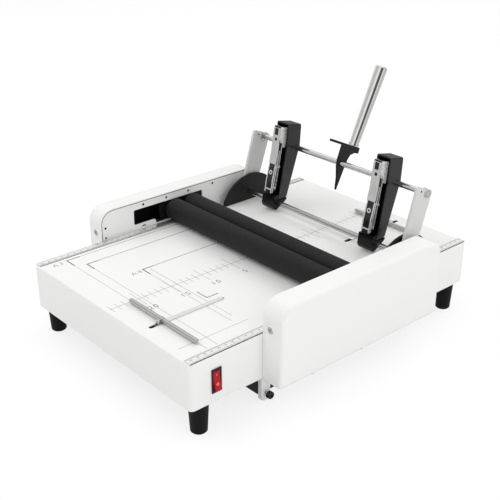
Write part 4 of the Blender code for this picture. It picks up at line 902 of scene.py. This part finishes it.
class BOOKLET_OT_staplers(bpy.types.Operator):
    """Staplers: covers, magazines and what shows on them"""
    bl_idname = "booklet.staplers"
    bl_label = "Staplers"

    # Higher than these, the trim would touch the table when the frame is down
    LIP_RISE, CLIP_RISE = 0.45, 0.6
    # The cover leaves 2 mm on the left of a magazine and 6 mm on its right, which limits both of these
    PROUD, CHEEK = {-1: 0.65, 1: 1.0}, {-1: 1.2, 1: 3.4}

    def execute(self, context):
        """Finishes both staplers and adds the plates, rails, rivets and clips of their magazines."""
        for side, _ in SIDES:
            rounded("stapler_cover_" + side, satin_abs, 2.6, 0.8)
            rounded("stapler_end_" + side, glossy_abs, 0.8, 0.8)
            dress(black_powder_coat, "stapler_magazine_" + side)
            x = centre("stapler_magazine_" + side).x
            self.head(side, x)
            self.front(side, x)
            self.rails(side)
        return {"FINISHED"}

    def fold(self, bm, line, angle):
        """Folds what lies beyond a line across Y."""
        bmesh.ops.bisect_plane(bm, geom=bm.verts[:] + bm.edges[:] + bm.faces[:], plane_co=line,
                               plane_no=(0, 1, 0))
        bmesh.ops.rotate(bm, cent=line, matrix=Matrix.Rotation(angle, 3, "X"),
                         verts=[v for v in bm.verts if v.co.y > line[1] + 0.01])

    def head(self, side, x):
        """The pierced plate that runs from the bend of the magazine over its top, and a black sheet behind it
        as painted shade in its window.
        """
        bend, nose, droop = 15.45, 53, -0.7
        turn = math.atan2(3.7, 15) - math.atan2(6.4, 40)
        place = leaning(x, -0.2, 59.5, 3.7, 15)
        head = plate(square(14.4, 57, 0, 28.5), 0.8, 1.6, rounds=((0, 37.5, 2.5),),
                     windows=(square(7.0, 9.5, -0.6, 48.5),))
        window_shade = plate(square(10, 27, 0, 42), 0.2, 1)
        for shape in (head, window_shade):
            self.fold(shape, (0, bend, 0), turn)
        run = nose - bend
        self.fold(head, (0, bend + run * math.cos(turn), run * math.sin(turn)), droop)
        for name, shape, lift, look, slot in (
            ("stapler_head_", head, 0.3, chrome_plate, "chrome"),
            # The thin black sheet under the window is painted shade.
            ("stapler_window_shade_", window_shade, 0.05, black_nylon, "black_plastic"),
        ):
            fit(name + side, moved(shape, place @ raised(lift)), "magazine_" + side, look)

    def front(self, side, x):
        """The black spring plate, its chrome ring, side lips and clip."""
        place, low_place = leaning(x, -6.75, 34, 6.8, 26), leaning(x, -9.6, 16.5, 3.1, 19.4)
        spring = moved(plate(square(9.4, 26, 0, 13), 0.35, 1.2), place)
        low = moved(plate(square(9.4, 17.5, 0, 8.75), 0.35, 0.8), low_place)
        fit("spring_plate_" + side, gather(spring, low), "magazine_" + side, satin_abs)
        trim = [moved(ring(3.4, 1.7, 0.9, 0.35), place @ Matrix.Translation((0, 13, 0.3)))]
        parts = [((sign * 5.4, 0, sign * 7.2, reach), self.LIP_RISE, 0.25, where)
                 for reach, where in ((26, place), (18, low_place)) for sign in (-1, 1)]
        parts.append(((-5.2, 4.2, 5.2, 6.4), self.CLIP_RISE, 0.3, low_place))
        parts += [((sign * 5.2, 0.4, sign * 7.2, 7.6), self.CLIP_RISE, 0.3, low_place) for sign in (-1, 1)]
        for corners, rise, width, where in parts:
            trim.append(moved(soften(bar(*corners, -0.6, rise), width), where))
        fit("magazine_trim_" + side, gather(*trim), "magazine_" + side, zinc_flake)

    def rails(self, side):
        """Side plates, rivets and the rails that the staples slide between."""
        bright, dark = [], []
        for _, sign in SIDES:
            wall = facing(on_frame(edge_of("stapler_magazine_" + side, sign), 0, 0), (sign, 0, 0))
            place = wall @ Matrix.Scale(sign, 4, (1, 0, 0))
            proud = self.PROUD[sign]
            cheek = plate([(9.4, 93), (12.0, 84), (15.6, 84), (20.2, 113), (9.8, 115.5), (6.4, 97)],
                          self.CHEEK[sign], 1.0,
                          rounds=((16.9, 110.2, 1.25), (16.0, 104.2, 1.25), (12.4, 110.4, 1.0)))
            bright.append(moved(soften(cheek, 0.2), place))
            for y, z, radius in ((9.2, 94.0, 2.4), (5.4, 55.0, 2.1), (-3.6, 24.0, 1.5)):
                rivet = turned((0, 0), (radius, 0), (radius, 1.5 * proud), (radius * 0.7, 2.1 * proud),
                               (0, 2.3 * proud))
                bright.append(moved(rivet, place @ Matrix.Translation((y, z, 0))))
            for bottom, top, thick in (((-8.2, 17), (6.6, 80), 1.3), ((-2.2, 20), (11.2, 88), 1.1)):
                run = Vector(top) - Vector(bottom)
                turn = Matrix.Rotation(math.atan2(run.y, run.x), 4, "Z")
                rail = soften(bar(0, -thick / 2, run.length, thick / 2, 0, 1.7 * proud), 0.3)
                bright.append(moved(rail, place @ Matrix.Translation((*bottom, 0)) @ turn))
            for groove in ([(-6.0, 18), (-3.2, 18), (9.6, 84), (6.6, 76)],
                           [(-0.2, 23), (2.2, 23), (15.2, 84), (12.2, 84)]):
                dark.append(moved(plate(groove, 0.15), place))
        fit("magazine_sides_" + side, gather(*bright), "magazine_" + side, zinc_flake)
        fit("magazine_grooves_" + side, gather(*dark), "magazine_" + side, black_nylon)


class BOOKLET_OT_lever(bpy.types.Operator):
    """Lever bracket and chrome handle"""
    bl_idname = "booklet.lever"
    bl_label = "Lever"

    def execute(self, context):
        """Finishes the lever and its handle."""
        dress(black_powder_coat, "lever_bracket")
        rounded("handle_tube", chrome_plate)
        return {"FINISHED"}


class BOOKLET_OT_stops(bpy.types.Operator):
    """Paper stops, their strips and thumb screws"""
    bl_idname = "booklet.stops"
    bl_label = "Paper stops"

    def execute(self, context):
        """Finishes the stops and hangs a dark tray under each slot, wide enough for the screw's nut."""
        for name in ("front_stop_bar", "rear_stop_bar", "front_stop_screw", "rear_stop_screw"):
            rounded(name, drawn_steel)
        dress(chrome_plate, "front_stop_strip", "rear_stop_strip")
        half = 5.7
        trays = gather(*(open_tray(x - half, front, x + half, rear, -4.6, -1.25, 0.6)
                         for x, front, rear in ((71, -236, -114), (56, 112, 233))))
        place = Matrix.Translation(on_table(0, 0))
        fit("slot_liners", moved(trays, place), "base", black_nylon)
        for name in ("front", "rear"):
            low, high = box(name + "_stop_strip")
            # A dark bar along the strip's left edge is the painted shade of the slot's wall.
            edge = bar(low.x - 0.45, low.y, low.x, high.y, low.z, low.z + 0.25)
            fit(name + "_strip_shade", edge, name + "_stop", blackened_steel)
        return {"FINISHED"}


class BOOKLET_OT_switch(bpy.types.Operator):
    """Mains switch and inlet"""
    bl_idname = "booklet.switch"
    bl_label = "Switch and inlet"

    def execute(self, context):
        """Finishes the switch and the inlet, prints the rocker and sets the inlet's pins."""
        dress(black_nylon, "switch_housing", "power_inlet")
        rocker = rounded("switch_rocker", red_polycarbonate, 0.5, 0.5)
        low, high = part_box("switch_rocker")
        middle, mesh = (low + high) / 2, rocker.data
        # How far the rocker's face is drawn out for each metre below its middle
        slant = 0.09
        for vertex in mesh.vertices:
            if vertex.co.x > middle.x:
                vertex.co.x += slant * max(0.0, middle.z - vertex.co.z)
        faces = BVHTree.FromPolygons([v.co for v in mesh.vertices], [p.vertices for p in mesh.polygons])
        marks = []
        for text, rise in (("O", -0.2), ("I", 0.27)):
            start = Vector((high.x + 0.01, middle.y, middle.z + rise * (high.z - low.z)))
            place, out, _, _ = faces.ray_cast(start, Vector((-1, 0, 0)))
            marks.append(moved(figures(text, 4.6, thin=0.01), facing(place / MM + out * 0.02, out)))
        fit("rocker_marks", gather(*marks), "rocker", white_ink)
        socket, root = centre("power_inlet"), box("power_inlet")[1].y - 17
        pins = []
        for x, z, wide, tall in ((-5, -1.5, 4.0, 2.0), (5, -1.5, 4.0, 2.0), (0, 3.0, 2.0, 4.0)):
            pin = soften(plate(square(wide, tall), 14, 0.6), 0.3)
            pins.append(moved(pin, facing((socket.x + x, root, socket.z + z), (0, 1, 0))))
        fit("inlet_pins", gather(*pins), "base", drawn_steel)
        return {"FINISHED"}


class BOOKLET_OT_clamps(bpy.types.Operator):
    """Clamps under the sides and their thumb screws"""
    bl_idname = "booklet.clamps"
    bl_label = "Clamps"

    KNOB = 5.8

    def execute(self, context):
        """Finishes the clamps and gives each thumb screw its ribbed knob."""
        dress(white_powder_coat, "clamp_bracket_left", "clamp_bracket_right")
        for side, sign in SIDES:
            node, body = "clamp_screw_" + side, "clamp_" + side
            low, high = box(node)
            middle, root = (low + high) / 2, edge_of(node, -sign)
            neck = high.x - low.x - self.KNOB
            place = facing((root, middle.y, middle.z), (sign, 0, 0))
            shank = turned((0, 0), (1.9, 0), (1.9, neck - 1.4), (3.1, neck - 1.4), (3.1, neck), (0, neck))
            knob = moved(self.knob((high.z - low.z) / 2 - 0.6), place @ raised(neck))
            for piece in (fit("clamp_shank_" + side, moved(shank, place), body, drawn_steel),
                          fit("clamp_knob_" + side, knob, body, knob_nylon)):
                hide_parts(node)
        return {"FINISHED"}

    def knob(self, radius):
        """A ribbed knob with a cross in its face."""
        bm = bmesh.new()
        bmesh.ops.create_circle(bm, segments=40, radius=radius)
        for vert in bm.verts[:][::2]:
            vert.co *= 0.9
        rim = pull(bm, bm.edges[:], 1.0, self.KNOB - 0.8)
        rim = pull(bm, rim, 0.86, 0.8)
        wall = bm.edges[:]
        flat(bm, cross(radius * 0.14, radius * 0.56))
        bmesh.ops.delete(bm, geom=[f for f in bm.faces if len(f.verts) == 12], context="FACES_ONLY")
        recess = [e for e in bm.edges if e not in wall]
        bmesh.ops.translate(bm, vec=(0, 0, self.KNOB), verts=list({v for e in recess for v in e.verts}))
        bmesh.ops.triangle_fill(bm, use_beauty=True, edges=rim + recess)
        pull(bm, recess, 0.9, -1.2)
        bmesh.ops.holes_fill(bm, edges=bm.edges[:], sides=0)
        return bm


class BOOKLET_OT_knife(bpy.types.Operator):
    """Fold knife, its lift and the anvils in the table"""
    bl_idname = "booklet.knife"
    bl_label = "Knife and anvils"

    def execute(self, context):
        """Finishes the knife and its drive, and lays dark patches on the anvils as the painted shade of their
        crimping pockets.
        """
        dress(drawn_steel, "anvil_left", "anvil_right", "knife_blade", "lift_shaft")
        dress(blackened_steel, "knife_carrier", "lift_cam", "lift_gearmotor")
        dress(black_nylon, "knife_guide_left", "knife_guide_right")
        dress(black_powder_coat, "shaft_stand")
        for side, _ in SIDES:
            middle, top = centre("anvil_" + side), box("anvil_" + side)[1].z
            # Dark patches on top of the anvils are painted shade of the crimping pockets.
            pocket_shades = [moved(plate(square(5.0, 1.5), 0.04, 0.7),
                             Matrix.Translation((middle.x + step, middle.y, top))) for step in (-3.2, 3.2)]
            fit("crimp_pocket_shade_" + side, gather(*pocket_shades), "base", blackened_steel)
        return {"FINISHED"}


STEPS = (
    BOOKLET_OT_stage, BOOKLET_OT_base, BOOKLET_OT_print, BOOKLET_OT_rules, BOOKLET_OT_covers,
    BOOKLET_OT_rollers, BOOKLET_OT_swing, BOOKLET_OT_staplers, BOOKLET_OT_lever, BOOKLET_OT_stops,
    BOOKLET_OT_switch, BOOKLET_OT_clamps, BOOKLET_OT_knife,
)


class BOOKLET_PT_looks(bpy.types.Panel):
    """Lists the steps and the values that they read"""
    bl_idname = "BOOKLET_PT_looks"
    bl_label = "Booklet maker"
    bl_space_type = "VIEW_3D"
    bl_region_type = "UI"
    bl_category = "Booklet maker"

    def draw(self, context):
        """Draws the panel."""
        for group in (context.scene.booklet_colours, context.scene.booklet_sizes):
            for key in group.bl_rna.properties.keys():
                if key not in ("rna_type", "name"):
                    self.layout.prop(group, key)
        for step in STEPS:
            self.layout.operator(step.bl_idname)


CLASSES = (BookletColours, BookletSizes, *STEPS, BOOKLET_PT_looks)


def register():
    """Registers the classes and the values."""
    for item in CLASSES:
        bpy.utils.register_class(item)
    bpy.types.Scene.booklet_colours = PointerProperty(type=BookletColours)
    bpy.types.Scene.booklet_sizes = PointerProperty(type=BookletSizes)


def unregister():
    """Removes the values and the classes."""
    del bpy.types.Scene.booklet_sizes
    del bpy.types.Scene.booklet_colours
    for item in reversed(CLASSES):
        bpy.utils.unregister_class(item)


def main():
    """Builds the looks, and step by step."""
    register()
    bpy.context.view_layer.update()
    for step in STEPS:
        group, name = step.bl_idname.split(".")
        getattr(getattr(bpy.ops, group), name)()


if __name__ == "__main__":
    main()
